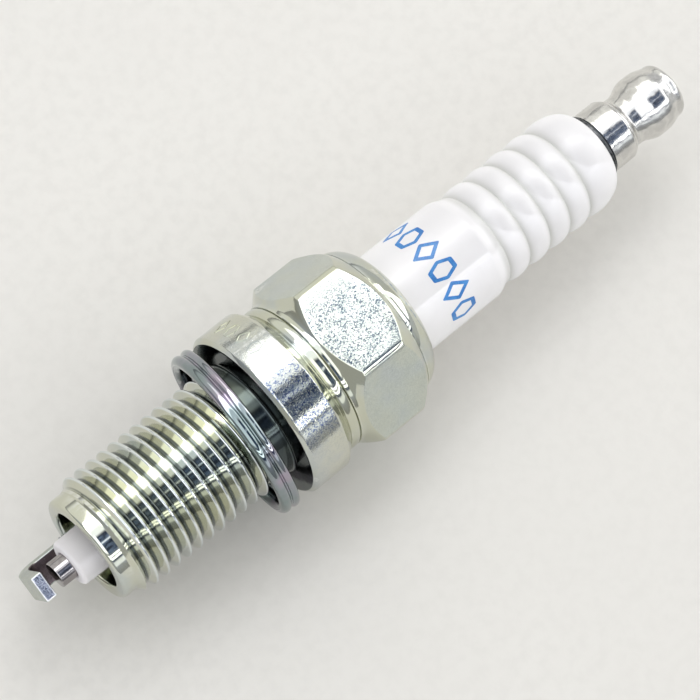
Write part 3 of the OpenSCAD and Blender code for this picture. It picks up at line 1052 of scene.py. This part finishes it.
class Shell(Piece):
    """Threaded shell with its seat flange, waist, hexagon and crimped lip."""

    sizes = ShellSizes()
    screw = ThreadSizes()
    hexagon = HexSizes()

    def build(self) -> bpy.types.Object:
        """Builds, dresses and hands over the shell."""
        bench = self.bench
        body = bench.lathe("metal_shell_turned", self._outline(), self.sizes.columns)
        bench.move_points(body, self._crowd)
        bench.move_points(body, self._press)
        thread = self._thread()
        bench.focus(thread)
        body.select_set(True)
        bpy.context.view_layer.objects.active = body
        bpy.ops.object.join()
        bench.bridge(body, self.screw.front - 0.1, self.screw.front + 0.1)
        bench.bridge(body, self.screw.rear - 0.1, self.screw.rear + 0.1)
        bench.edit(body)
        bench.tidy()
        bench.close()
        bench.smooth(body, 32)
        zones = ("polished", "thread", "flats", "rim", "shaded")
        bench.paint(body, [self.finishes[key] for key in zones], self._zone)
        return self.hand_over(body, "plug", "zinc_plated_steel", "metal_shell")

    def _outline(self) -> list[tuple[float, float]]:
        """Outline from the thread's front, round through the bore, to the thread's rear."""
        z, t, h = self.sizes, self.screw, self.hexagon
        lip_arc_r = z.lip_bore_r - 0.2
        lip_height = z.waist_r - lip_arc_r
        half = (z.waist_rear - z.waist_front) / 2
        rounding = (z.end_round - z.reach, t.root_r - z.end_round)
        nose = [(t.front, t.root_r), *arc(rounding, (z.end_round,) * 2, 90, 180, 6)]
        bore = soften([
            nose[-1], (-z.reach, z.mouth_r + 0.22), (0.18 - z.reach, z.mouth_r), (z.mouth_end, z.mouth_r),
            (z.ledge_front, z.ledge_r), (z.ledge_rear, z.ledge_r), (z.bore_front, z.bore_r),
            (z.bore_rear, z.bore_r), (z.chamber_front, z.chamber_r), (z.lip_from, z.chamber_r),
        ], 0.12)
        lip = [
            *arc((z.lip_from, lip_arc_r), (1.6, z.chamber_r - lip_arc_r), 80, 9, 8),
            (z.lip_end - 0.12, z.lip_bore_r),
            (z.lip_end - 0.03, z.lip_bore_r + 0.05), (z.lip_end - 0.01, z.lip_bore_r + 0.14),
            *arc((z.lip_from, lip_arc_r), (z.lip_end - z.lip_from, lip_height), 9, 79, 16),
        ]
        groove = [(h.end + 0.05, h.end_r - 0.07), (h.end + 0.01, h.end_r - 0.075)]
        foot = [(h.foot - 0.06, h.foot_r - 0.03), (h.foot - 0.1, z.waist_r), (z.waist_rear + 0.08, z.waist_r),
                (z.waist_rear + 0.02, z.waist_r - 0.05), (z.waist_rear, z.waist_r - 0.22)]
        waist = arc(((z.waist_front + z.waist_rear) / 2, z.waist_r - 0.2), (half, 0.2), 8, 172, 14)
        flange = soften([
            waist[-1], (z.waist_front, z.waist_r - 0.2), (z.flange_rear, z.flange_r),
            (z.flange_chamfer, z.flange_r), (0.0, z.flange_r - z.flange_chamfer), (0.0, t.shank_r + 0.3),
        ], 0.1)
        seat = arc((-0.3, t.shank_r + 0.3), (0.3, 0.3), 0, -90, 6)
        return [*nose[:-1], *bore, *lip, *groove, *h.blank(), *foot, *waist[:-1], *flange[:-1], *seat,
                (t.rear, t.shank_r)]

    def _crowd(self, station: float, radius: float, turn: float) -> tuple[float, float, float]:
        """Crowds the columns at the hexagon's corners."""
        z = self.sizes
        shift = math.degrees(z.crowding / 6 * math.sin(math.radians(6 * (turn - 30))))
        return station, radius, turn - shift

    def _press(self, station: float, radius: float, turn: float) -> tuple[float, float, float] | None:
        """Presses the blank's rows to the hexagon."""
        h = self.hexagon
        if abs(radius - h.foot_r - 0.4) > 0.01 or not h.foot - 0.01 < station < h.end + 0.01:
            return None
        return (*h.press(round((station - h.foot) / h.spacing()), turn), turn)

    def _thread(self) -> bpy.types.Object:
        """Screws one pitch of the thread into its full length, and trims its ends."""
        t, bench, place = self.screw, self.bench, self.place
        turns = math.ceil((t.rear - t.front) / t.pitch) + 3
        first = t.crest_at - t.pitch * math.ceil((t.crest_at - t.front) / t.pitch + 1)
        points = [Vector((place.seat_x + (first + s) * MM, 0.0, r * MM)) for s, r in t.profile()]
        thread = bench.trace("thread", points)
        bench.apply(thread, "SCREW", axis="X", angle=2 * math.pi, screw_offset=t.pitch * MM, iterations=turns,
                    steps=t.columns, render_steps=t.columns, use_merge_vertices=True, merge_threshold=MERGE)
        thread.location = place.axis()
        bench.settle(thread)
        bench.edit(thread)
        bench.tidy()
        for station, outward in ((t.front, -1), (t.rear, 1)):
            bpy.ops.mesh.select_all(action="SELECT")
            bpy.ops.mesh.bisect(plane_co=place.point(station, 0), plane_no=(outward, 0, 0), clear_outer=True,
                                threshold=MERGE)
        bench.close()
        bench.move_points(thread, lambda s, r, a: (s, t.radius_at(s, r), a))
        return thread

    def _zone(self, station: float, radius: float, turn: float) -> int:
        """Finish of a face: 0 polished, 1 thread, 2 flats, 3 flange's rim, 4 undercut behind the gasket in
        painted shade.
        """
        z, h = self.sizes, self.hexagon
        # The shank and seat face behind the gasket take the painted shade.
        if self.screw.rear - 0.5 < station < 0.02 and radius < z.flange_r - 0.45:
            return 4
        if station < 0 and radius > z.mouth_r + 0.1:
            return 1
        if radius > z.flange_r - 0.06 and station < z.flange_rear:
            return 3
        flat = h.radius(turn)
        on_flat = h.foot < station < h.end and abs(radius - flat) < 0.02 and flat < h.corner_r - 0.02
        return 2 if on_flat else 0


@dataclass(frozen=True)
class StrapSizes:
    """Bent ground strap and its weld."""

    width: float = 2.55
    thick: float = 1.1
    top_r: float = 4.95
    outer: float = -24.45
    past: float = 0.85
    bend_r: float = 2.2
    turn: float = 202.0
    edge: float = 0.16
    burr: float = 0.17
    dish: float = 0.07
    weld_sink: float = 0.11
    weld_length: float = 0.24
    weld_spread: float = 0.3
    weld_ripple: float = 0.06
    bend_steps: int = 14


class GroundStrap(Piece):
    """Ground strap: a leg welded to the shell, a round bend and an arm across the gap."""

    sizes = StrapSizes()
    foot_at = -ShellSizes.reach

    def build(self) -> bpy.types.Object:
        """Builds, dresses and hands over the strap and its weld."""
        z, bench, place = self.sizes, self.bench, self.place
        bench.clear()
        middle = z.top_r - z.thick / 2
        foot = place.point(self.foot_at, middle)
        bpy.ops.mesh.primitive_plane_add(size=1, location=foot, rotation=(0, -math.pi / 2, 0))
        strap = bpy.context.active_object
        strap.name = "ground_electrode_strap"
        strap.scale = (z.thick * MM, z.width * MM, 1)
        bench.settle(strap)
        bench.edit(strap)
        run = z.outer + z.bend_r - self.foot_at
        for _ in range(3):
            bpy.ops.mesh.extrude_region_move(TRANSFORM_OT_translate={"value": (run / 3 * MM, 0, 0)})
        bend = place.point(z.outer + z.bend_r, z.top_r - z.bend_r)
        bpy.ops.mesh.spin(steps=z.bend_steps, angle=math.pi / 2, center=bend, axis=(0, 1, 0))
        drop = z.past + z.top_r - z.bend_r
        for _ in range(3):
            bpy.ops.mesh.extrude_region_move(TRANSFORM_OT_translate={"value": (0, 0, -drop / 3 * MM)})
        bench.tidy()
        bench.close()
        bench.apply(strap, "BEVEL", width=z.edge * MM, segments=3, limit_method="ANGLE",
                    angle_limit=math.radians(40))
        bench.apply(strap, "SUBSURF", subdivision_type="SIMPLE", levels=2, render_levels=2)
        self._shear(strap)
        self._turn(strap)
        bench.smooth(strap, 50)
        bench.paint(strap, [self.finishes[k] for k in ("strap", "strap_end", "burr", "strap_inner")])
        for face in strap.data.polygons:
            face.material_index = self._face_finish(face)
        self._weld()
        return self.hand_over(strap, "plug", "strap_nickel", "ground_electrode")

    def _face_finish(self, face: bpy.types.MeshPolygon) -> int:
        """Finish of a face: 0 worked, 1 sheared end, 2 burr round it, 3 inner side in dark purple-brown
        painted shade.
        """
        z, place = self.sizes, self.place
        leg = place.point(0, 1, z.turn) - place.point(0, 0, z.turn)
        side = Vector((1, 0, 0)).cross(leg)
        away = face.center - place.axis()
        depth = away.dot(leg) / leg.length / MM
        across = abs(away.dot(side)) / side.length / MM
        station, _, _ = place.read(face.center)
        middle = abs(station - z.outer - z.thick / 2)
        if depth < 0.12 - z.past and station < z.outer + z.thick + 0.01:
            on_rim = across > z.width / 2 - z.burr or middle > z.thick / 2 - z.burr
            return 2 if on_rim and (depth < 0.06 - z.past) else (0 if on_rim else 1)
        # The leg's inner side takes the painted shade.
        inner_leg = depth < z.top_r - z.thick + 0.01 and station > z.outer + z.thick - 0.01
        return 3 if inner_leg and across < z.width / 2 - 0.02 else 0

    def _shear(self, strap: bpy.types.Object) -> None:
        """Leaves the sheared end a little dished, with a burr along its far edges."""
        z, place = self.sizes, self.place
        tip = place.point(0, -z.past).z
        for v in strap.data.vertices:
            if v.co.z > tip + 0.02 * MM:
                continue
            s = (v.co.x - place.seat_x) / MM
            across = abs(v.co.y) / MM / (z.width / 2)
            along = abs(s - z.outer - z.thick / 2) / (z.thick / 2)
            v.co.z += z.dish * MM * (1 - max(across, along) ** 4)
        strap.data.update()

    def _turn(self, obj: bpy.types.Object) -> None:
        """Turns a piece about the plug's axis from straight up to the strap's turn."""
        spin = Matrix.Rotation(math.radians(self.sizes.turn), 4, "X")
        shift = Matrix.Translation(self.place.axis())
        obj.data.transform(shift @ spin @ shift.inverted())

    def _weld(self) -> None:
        """Builds the flash squeezed out round the leg's foot."""
        z, bench, place = self.sizes, self.bench, self.place
        bench.clear()
        middle = place.point(self.foot_at - z.weld_sink, z.top_r - z.thick / 2)
        bpy.ops.mesh.primitive_cube_add(size=1, location=middle)
        weld = bpy.context.active_object
        weld.name = "weld_flash"
        weld.scale = (z.weld_length * MM, (z.width + z.weld_spread) * MM, (z.thick + 0.22) * MM)
        bench.settle(weld)
        bench.apply(weld, "BEVEL", width=z.weld_sink * MM, segments=3, limit_method="NONE")
        bench.apply(weld, "SUBSURF", subdivision_type="SIMPLE", levels=2, render_levels=2)
        for v in weld.data.vertices:
            ripple = math.sin(v.co.y / MM * 5.1 + v.co.z / MM * 3.7) * math.sin(v.co.z / MM * 6.3)
            v.co.x += min(0.0, ripple) * z.weld_ripple * MM
        self._turn(weld)
        bench.smooth(weld, 60)
        bench.paint(weld, [self.finishes["weld"]])
        self.hand_over(weld, "plug", "strap_nickel")


@dataclass(frozen=True)
class GasketSizes:
    """Folded gasket: a thick front roll on a thinner rear roll."""

    outer_r: float = 8.4
    hole_r: float = 6.45
    lip_r: float = 7.2
    thick: float = 1.85
    rear_roll: float = 0.8
    seam: float = 0.13
    columns: int = 180


class Gasket(Piece):
    """Crush gasket that leans on the seat's edge, free to rock flat."""

    sizes = GasketSizes()

    def build(self) -> bpy.types.Object:
        """Builds, dresses and hands over the gasket."""
        z, bench = self.sizes, self.bench
        ring = bench.lathe("gasket_folded", self._outline(), z.columns)
        joint = next(j for j in frame["joints"] if j["name"] == "gasket_rock")
        axis, pivot = Vector(joint["axis"]), Vector(joint["pos_m"])
        inward = Vector((1, 0, 0)).cross(axis).normalized()
        inward = inward if inward.z > 0 else -inward
        centre = pivot + inward * z.outer_r * MM
        lean = Matrix.Rotation(-math.radians(joint["range_deg"][1]), 4, axis)
        about = Matrix.Translation(pivot)
        shift = Matrix.Translation(centre - self.place.point(0, 0))
        ring.data.transform(about @ lean @ about.inverted() @ shift)
        bench.smooth(ring, 50)
        bench.paint(ring, [self.finishes["gasket"]])
        return self.hand_over(ring, "crush_gasket", "gasket_zinc", "gasket")

    def _outline(self) -> list[tuple[float, float]]:
        """Section of the two rolls with the seam between them."""
        z = self.sizes
        front = z.thick - z.rear_roll
        fr, rr = front / 2, z.rear_roll / 2
        seam_at = -z.rear_roll
        outer_front = arc((-z.thick + fr, z.outer_r - fr), (fr, fr), 190, 28, 14)
        seam = [(seam_at - 0.02, z.outer_r - z.seam - 0.12), (seam_at + 0.03, z.outer_r - z.seam - 0.12)]
        outer_rear = arc((-rr, z.outer_r - rr), (rr, rr), 150, 8, 12)
        back = [(-0.01, z.outer_r - rr - 0.1), (-0.04, (z.outer_r + z.hole_r) / 2),
                (-0.01, z.hole_r + rr + 0.05)]
        inner_rear = arc((-rr, z.hole_r + rr), (rr, rr), -10, -190, 14)
        web = [(-z.rear_roll, z.hole_r + rr + 0.15), (-z.rear_roll + 0.03, z.lip_r - 0.12)]
        inner_front = arc((-z.thick + fr, z.lip_r + fr), (fr, fr), -20, -172, 14)
        face = [(-z.thick + 0.03, (z.outer_r + z.lip_r) / 2)]
        loop = [*outer_front, *seam, *outer_rear, *back, *inner_rear, *web, *inner_front, *face]
        return [*loop, loop[0]]


@dataclass(frozen=True)
class InsulatorSizes:
    """One-piece ribbed insulator."""

    nose_tip: float = -20.9
    nose_r: float = 2.25
    bore_r: float = 1.27
    upper_bore_r: float = 1.9
    bore_step: float = -4.9
    taper_from: float = -16.0
    step_front: float = -6.43
    step_rear: float = -5.43
    step_r: float = 3.1
    middle_rear: float = 3.12
    middle_r: float = 4.1
    collar_front: float = 5.4
    collar_rear: float = 9.1
    collar_r: float = 6.38
    barrel_front: float = 10.1
    barrel_r: float = 5.25
    first_groove: float = 26.75
    rib_pitch: float = 2.5
    rib_depth: float = 0.42
    ribs: int = 5
    crest_r: float = 5.05
    top: float = 40.9
    top_r: float = 3.5
    columns: int = 160


class Insulator(Piece):
    """Glazed insulator with its ribs, its bare nose and its printed marks."""

    sizes = InsulatorSizes()

    def build(self) -> bpy.types.Object:
        """Builds, dresses and hands over the insulator."""
        body = self.bench.lathe("insulator_glazed", self._outline(), self.sizes.columns)
        self.bench.smooth(body, 40)
        self.bench.paint(body, [self.finishes["porcelain"]])
        return self.hand_over(body, "plug", "glazed_alumina", "insulator")

    def _outline(self) -> list[tuple[float, float]]:
        """Outline from the nose's bore round the outside and back through the bore."""
        z = self.sizes
        last_crest = z.first_groove + z.ribs * z.rib_pitch - z.rib_pitch / 2
        nose = [(z.nose_tip + 0.1, z.bore_r), (z.nose_tip, z.bore_r + 0.1), (z.nose_tip, z.nose_r - 0.4),
                *arc((z.nose_tip + 0.4, z.nose_r - 0.4), (0.4, 0.4), 180, 90, 7)]
        seat = soften([
            nose[-1], (z.taper_from, z.nose_r + 0.05), (z.step_front, z.step_r), (z.step_rear, z.middle_r),
            (z.middle_rear, z.middle_r), (z.collar_front, z.collar_r), (z.collar_rear, z.collar_r),
            (z.barrel_front, z.barrel_r), (z.first_groove - 1.8, z.barrel_r),
        ], 0.25, 4)
        lead = swell((z.first_groove - 1.8, z.barrel_r), (z.first_groove - 0.16, self._rib(-0.16)), 10)
        steps = 22
        count = int((z.ribs - 0.5) * steps)
        alongs = [z.rib_pitch * i / steps for i in range(count)]
        ribs = [(z.first_groove + along, self._rib(along)) for along in alongs]
        crown = arc((last_crest, z.top_r), (z.top - last_crest, z.crest_r - z.top_r), 88, 0, 18)
        inside = [(z.top, z.upper_bore_r + 0.1), (z.top - 0.1, z.upper_bore_r), (z.bore_step, z.upper_bore_r),
                  (z.bore_step - 0.05, z.bore_r), nose[0]]
        return [*nose, *seat[1:-1], *lead, *ribs, *crown, *inside]

    def _rib(self, along: float) -> float:
        """Radius of the ribs at a distance from the first groove."""
        z = self.sizes
        phase = (along / z.rib_pitch + 0.5) % 1.0 - 0.5
        from_crest = 1 - 2 * abs(phase)
        lobe = max(0.0, 1 - from_crest ** 2.1) ** 0.8
        return z.crest_r - z.rib_depth * (1 - math.sqrt(lobe * lobe + 0.004) / math.sqrt(1.004))


class Mark(Enum):
    """Plain shapes, each known by its number of corners."""

    DIAMOND = 4
    HEXAGON = 6


@dataclass(frozen=True)
class MarkSizes:
    """Row of marks round a turned surface."""

    name: str
    finish: str
    slot: str
    station: float
    radius: float
    half: float
    stroke: float
    first_turn: float
    step: float
    row: tuple[Mark, ...]
    squeeze: float = 0.61
    proud: float = 0.012


class SurfaceMarks(Piece):
    """Rows of plain shapes in place of any wording: blue print, and stampings on the flange."""

    rows = (
        MarkSizes("printed_mark", "ink", "glazed_alumina", 20.6, InsulatorSizes.barrel_r, half=1.6,
                  stroke=0.46, first_turn=62.0, step=-24.5, row=(Mark.HEXAGON, Mark.DIAMOND) * 3),
        MarkSizes("stamped_mark", "polished", "zinc_plated_steel", 2.15, ShellSizes.flange_r, half=0.95,
                  stroke=0.2, first_turn=-12.0, step=-11.5, proud=0.04,
                  row=(Mark.DIAMOND, Mark.HEXAGON) * 2 + (Mark.DIAMOND,)),
    )

    def build(self) -> None:
        """Builds, dresses and hands over the marks."""
        for z in self.rows:
            for number, mark in enumerate(z.row):
                obj = self._flat(z, mark, f"{z.name}_{number + 1}")
                self._wrap(z, obj, z.first_turn + z.step * number)
                self.bench.smooth(obj, 30)
                self.bench.paint(obj, [self.finishes[z.finish]])
                self.hand_over(obj, "plug", z.slot)

    def _flat(self, z: MarkSizes, mark: Mark, name: str) -> bpy.types.Object:
        """Draws a mark's outline flat in the XY plane, with the stroke's width.

        Args:
            z: The row that it belongs to.
            mark: The shape.
            name: The new object's name.

        Returns:
            A thin flat band that is raised a little.
        """
        bench = self.bench
        bench.clear()
        bpy.ops.mesh.primitive_circle_add(vertices=mark.value, radius=z.half * MM, fill_type="NGON")
        obj = bpy.context.active_object
        obj.name = name
        bench.edit(obj)
        bpy.ops.mesh.bevel(offset=0.1 * z.half * MM, segments=4, affect="VERTICES")
        bpy.ops.mesh.inset(thickness=z.stroke * MM)
        bpy.ops.mesh.delete(type="FACE")
        bpy.ops.mesh.select_all(action="SELECT")
        bpy.ops.mesh.subdivide(number_cuts=3)
        bpy.ops.mesh.extrude_region_move(TRANSFORM_OT_translate={"value": (0, 0, 2 * z.proud * MM)})
        bench.tidy()
        bench.close()
        return obj

    def _wrap(self, z: MarkSizes, obj: bpy.types.Object, turn: float) -> None:
        """Wraps a flat mark round its surface at a turn in degrees."""
        for v in obj.data.vertices:
            x, y, height = (c / MM for c in v.co)
            v.co = self.place.point(z.station + x, z.radius - z.proud + height,
                                    turn + math.degrees(z.squeeze * y / z.radius))
        obj.data.update()


@dataclass(frozen=True)
class ElectrodeSizes:
    """Centre electrode."""

    tip: float = -22.4
    r: float = 1.25
    head_r: float = 1.7
    head_from: float = -4.88
    head_top: float = -4.0
    core_r: float = 0.77
    core_tip: float = -20.6
    columns: int = 96


class CentreElectrode(Piece):
    """Dark nickel electrode that stands out of the nose."""

    sizes = ElectrodeSizes()

    def build(self) -> bpy.types.Object:
        """Builds, dresses and hands over the electrode."""
        z = self.sizes
        outline = soften([(z.tip, 0.0), (z.tip, z.r), (z.head_from, z.r), (z.head_from, z.head_r),
                          (z.head_top, z.head_r), (z.head_top, z.core_r), (z.core_tip, z.core_r),
                          (z.core_tip, 0.0)], 0.1, 4)
        rod = self.bench.lathe("center_electrode_rod", outline, z.columns)
        self.bench.smooth(rod, 40)
        self.bench.paint(rod, [self.finishes["electrode"]])
        return self.hand_over(rod, "plug", "electrode_nickel", "center_electrode")


@dataclass(frozen=True)
class NutSizes:
    """Snap terminal nut, measured from its lower face."""

    bottom: float = 41.36
    height: float = 9.54
    r: float = 3.175
    neck_r: float = 2.57
    bore_r: float = 2.05
    skirt: float = 2.75
    # Height of the nut's lowest band, painted near-black as a painted shadow line.
    shade_band: float = 0.26
    neck_from: float = 3.7
    neck_to: float = 4.35
    land_from: float = 6.3
    land: float = 6.8
    land_to: float = 7.3
    columns: int = 144


class TerminalNut(Piece):
    """Turned terminal nut: skirt, neck and bulb."""

    sizes = NutSizes()

    def build(self) -> bpy.types.Object:
        """Builds, dresses and hands over the nut."""
        z = self.sizes
        base, top = z.bottom, z.bottom + z.height
        skirt = soften([
            (base + 0.15, z.bore_r), (base, z.bore_r + 0.15), (base, z.r - 0.12), (base + 0.12, z.r),
            (base + z.shade_band, z.r), (base + z.skirt, z.r), (base + z.skirt + 0.16, z.r - 0.14),
        ], 0.08)
        neck = swell((base + z.skirt + 0.17, z.r - 0.16), (base + z.neck_from, z.neck_r), 8)
        bulb = swell((base + z.neck_to, z.neck_r), (base + z.land_from, z.r - 0.005), 12)
        end = [(base + z.land, z.r), *swell((base + z.land_to, z.r - 0.005), (top - 0.5, z.r - 0.4), 6),
               *arc((top - 0.5, z.r - 0.9), (0.5, 0.5), 75, 0, 7)]
        mouth = soften([(top, z.r - 0.9), (top, z.bore_r + 0.3), (top - 0.3, z.bore_r),
                        (base + 0.15, z.bore_r)], 0.08)
        nut = self.bench.lathe("terminal_nut_turned", [*skirt, *neck, *bulb, *end, *mouth[1:]], z.columns)
        self.bench.smooth(nut, 30)
        # The nut's lowest band takes the stud's near-black finish, a painted shadow line under the nut.
        self.bench.paint(nut, [self.finishes[key] for key in ("nut", "stud")],
                         lambda station, radius, turn: int(station < base + z.shade_band))
        return self.hand_over(nut, "snap_terminal", "terminal_nickel", "terminal_nut")


class CarriedNodes:
    """CAD nodes whose shape stays and which get a finish here."""

    nodes = {
        # The stud's near-black finish is painted shade.
        "stud": ("terminal_stud",),
        "copper": ("copper_core",),
        "glass": ("lower_glass_seal", "upper_glass_seal"),
        "resistor": ("resistor",),
        "talc": ("talc_ring",),
        "packing": ("lower_packing_washer", "lower_packing_ring", "upper_packing_ring"),
    }

    def dress(self, finishes: Finishes) -> None:
        """Gives each node its material."""
        for finish, names in self.nodes.items():
            for name in names:
                node = frame["nodes"][name]
                node.data.materials.clear()
                node.data.materials.append(finishes[finish])
                log.info("node %s in %s", name, finishes[finish].name)


@dataclass(frozen=True)
class Studio:
    """Floor, light and camera."""

    floor_half: float = 1.5
    azimuth: float = -61.68
    elevation: float = 69.61
    roll: float = 21.43
    distance: float = 0.26725
    lens: float = 154.34
    offset: tuple[float, float, float] = (-0.00207, -0.00057, -0.00076)
    lamp_size: tuple[float, float] = (0.34, 0.26)
    lamp_at: tuple[float, float, float] = (0.22, 0.34, 0.40)
    lamp_energy: float = 0.34
    lamp_tone: Colour = (1.0, 0.985, 0.96)

    def build(self, place: Place, finishes: Finishes) -> None:
        """Builds the whole setting.

        Args:
            place: The plug's place.
            finishes: The finishes, for the floor.
        """
        self._camera(place)
        self._floor(finishes)
        self._lights(place)
        self._sky()
        view = bpy.context.scene.view_settings
        view.view_transform = "Standard"
        view.look = "None"

    def _camera(self, place: Place) -> None:
        """Aims the camera."""
        a, e, roll = (math.radians(v) for v in (self.azimuth, self.elevation, self.roll))
        back = Vector((math.sin(a) * math.cos(e), -math.cos(a) * math.cos(e), math.sin(e)))
        level = Vector((0, 0, 1)).cross(back).normalized()
        rise = back.cross(level)
        right = level * math.cos(roll) + rise * math.sin(roll)
        up = back.cross(right)
        lo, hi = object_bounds()
        target = Vector(((lo.x + hi.x) / 2, 0, place.axis_z)) + Vector(self.offset)
        data = bpy.data.cameras.new("camera")
        data.lens = self.lens
        data.clip_start, data.clip_end = 0.01, 10
        camera = bpy.data.objects.new("camera", data)
        facing = Matrix((right, up, back)).transposed().to_4x4()
        camera.matrix_world = Matrix.Translation(target + back * self.distance) @ facing
        bpy.context.scene.collection.objects.link(camera)
        bpy.context.scene.camera = camera

    def _floor(self, finishes: Finishes) -> None:
        """Lays the pale floor under the plug."""
        Bench.clear()
        lo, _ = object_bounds()
        bpy.ops.mesh.primitive_plane_add(size=2 * self.floor_half, location=(0, 0, lo.z - 2e-5))
        floor = bpy.context.active_object
        floor.name = "floor"
        floor.data.materials.append(finishes["paper"])
        floor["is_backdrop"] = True

    def _lights(self, place: Place) -> None:
        """Hangs one large soft light over the far left of the plug."""
        data = bpy.data.lights.new("key", "AREA")
        data.shape = "RECTANGLE"
        data.size, data.size_y = self.lamp_size
        data.energy = self.lamp_energy
        data.color = self.lamp_tone
        lamp = bpy.data.objects.new("key", data)
        lamp.location = self.lamp_at
        aim = (lamp.location - place.axis()).to_track_quat("Z", "Y")
        lamp.rotation_euler = aim.to_euler()
        bpy.context.scene.collection.objects.link(lamp)

    def _sky(self) -> None:
        """Builds a pale room with lit ceiling panels, a window and a dark figure overhead.

        Mirrors see the room, matt surfaces get an even soft light from it.
        """
        world = bpy.data.worlds.new("room")
        world.use_nodes = True
        graph = Graph(world.node_tree)
        shade = world.node_tree.nodes["Background"]
        ray = graph.add("TexCoord").outputs["Generated"]
        parts = graph.add("SeparateXYZ", {0: ray}).outputs
        side = graph.math("ARCTAN2", parts[1], parts[2])
        room = graph.blend(graph.ramp(parts[2], -0.1, 0.6), (0.34, 0.34, 0.33), (0.50, 0.54, 0.62))
        broken = graph.ramp(graph.noise(ray, 9.0, 3.0), 0.42, 0.58)
        figure_tone = graph.blend(broken, (0.03, 0.04, 0.07), (0.18, 0.24, 0.38))
        layers = (
            # Walls past the firing end and past the terminal, with a lit opening in the second.
            ((-1.8, 0.1), (-1.2, -0.50), 0.12, (0.48, 0.49, 0.49)),
            ((-3.4, 3.4), (0.70, 1.2), 0.10, (0.66, 0.67, 0.68)),
            ((-0.90, 0.35), (0.70, 1.2), 0.05, (3.0, 3.05, 3.15)),
            ((-0.95, 0.10), (0.80, 0.86), 0.015, (0.10, 0.11, 0.13)),
            # Pale ceiling on the far side, with a bright panel and its dimmer edge.
            ((-0.02, 1.45), (-0.6, 0.70), 0.10, (1.00, 1.00, 0.96)),
            ((0.00, 0.30), (-0.85, 0.80), 0.03, (1.50, 1.55, 1.65)),
            ((0.25, 0.62), (-0.85, 0.80), 0.03, (4.2, 4.25, 4.4)),
            # Lit ceiling over the thread, and a dark figure over the rest with one bright slit.
            ((-0.70, 0.05), (-0.80, -0.02), 0.05, (1.90, 1.95, 2.05)),
            ((-0.76, -0.04), (0.02, 0.60), 0.04, figure_tone),
            ((-0.33, -0.28), (0.05, 0.55), 0.01, (1.3, 1.4, 1.6)),
            # Dark window frame with two bright panes, and the pale wall under it.
            ((-1.06, -0.76), (-0.55, 0.75), 0.015, (0.05, 0.07, 0.14)),
            ((-0.87, -0.81), (-0.60, 0.75), 0.008, (4.0, 4.1, 4.2)),
            ((-0.98, -0.92), (-0.60, 0.75), 0.008, (4.0, 4.1, 4.2)),
            ((-1.25, -1.08), (-0.30, 0.60), 0.02, (1.2, 1.25, 1.3)),
        )
        colour = room
        for sides, alongs, soft, tone in layers:
            colour = graph.blend(self._patch(graph, side, parts[0], sides, alongs, soft), colour, tone)
        ray_kind = graph.add("LightPath").outputs
        even = graph.blend(graph.ramp(parts[0], -0.8, 0.8), (0.38, 0.38, 0.39), (1.02, 1.01, 0.98))
        colour = graph.blend(ray_kind["Is Diffuse Ray"], colour, even)
        graph.feed(shade.inputs["Color"], graph.blend(ray_kind["Is Camera Ray"], colour, (0.80, 0.79, 0.76)))
        shade.inputs["Strength"].default_value = 1.0
        bpy.context.scene.world = world

    @staticmethod
    def _patch(graph: Graph, side: Any, along: Any, sides: tuple, alongs: tuple,
               soft: float) -> bpy.types.NodeSocket:
        """Soft-edged patch of the sky.

        Args:
            graph: The world's nodes.
            side: Angle of a ray about the plug's axis, from straight up.
            along: Share of a ray along the plug's axis.
            sides: Lowest and highest angle of the patch.
            alongs: Lowest and highest share along the axis.
            soft: Width of its soft edge.

        Returns:
            The patch's mask.
        """
        masks = []
        for value, (low, high) in ((side, sides), (along, alongs)):
            masks.append(graph.ramp(value, low - soft, low + soft))
            masks.append(graph.ramp(value, high + soft, high - soft))
        mask = masks[0]
        for other in masks[1:]:
            mask = graph.times(mask, other)
        return mask


def main() -> None:
    """Builds the plug and its setting in order."""
    logging.info("building the spark plug")
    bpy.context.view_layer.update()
    shell_low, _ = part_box("metal_shell")
    barrel_low, barrel_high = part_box("insulator")
    place = Place(shell_low.x + ShellSizes.reach * MM, (barrel_low.z + barrel_high.z) / 2)
    finishes = Finishes(place)
    bench = Bench(place)
    Studio().build(place, finishes)
    for kind in (Shell, GroundStrap, Gasket, Insulator, SurfaceMarks, CentreElectrode, TerminalNut):
        kind(bench, finishes).build()
    CarriedNodes().dress(finishes)
    Bench.clear()


if __name__ == "__main__":
    main()
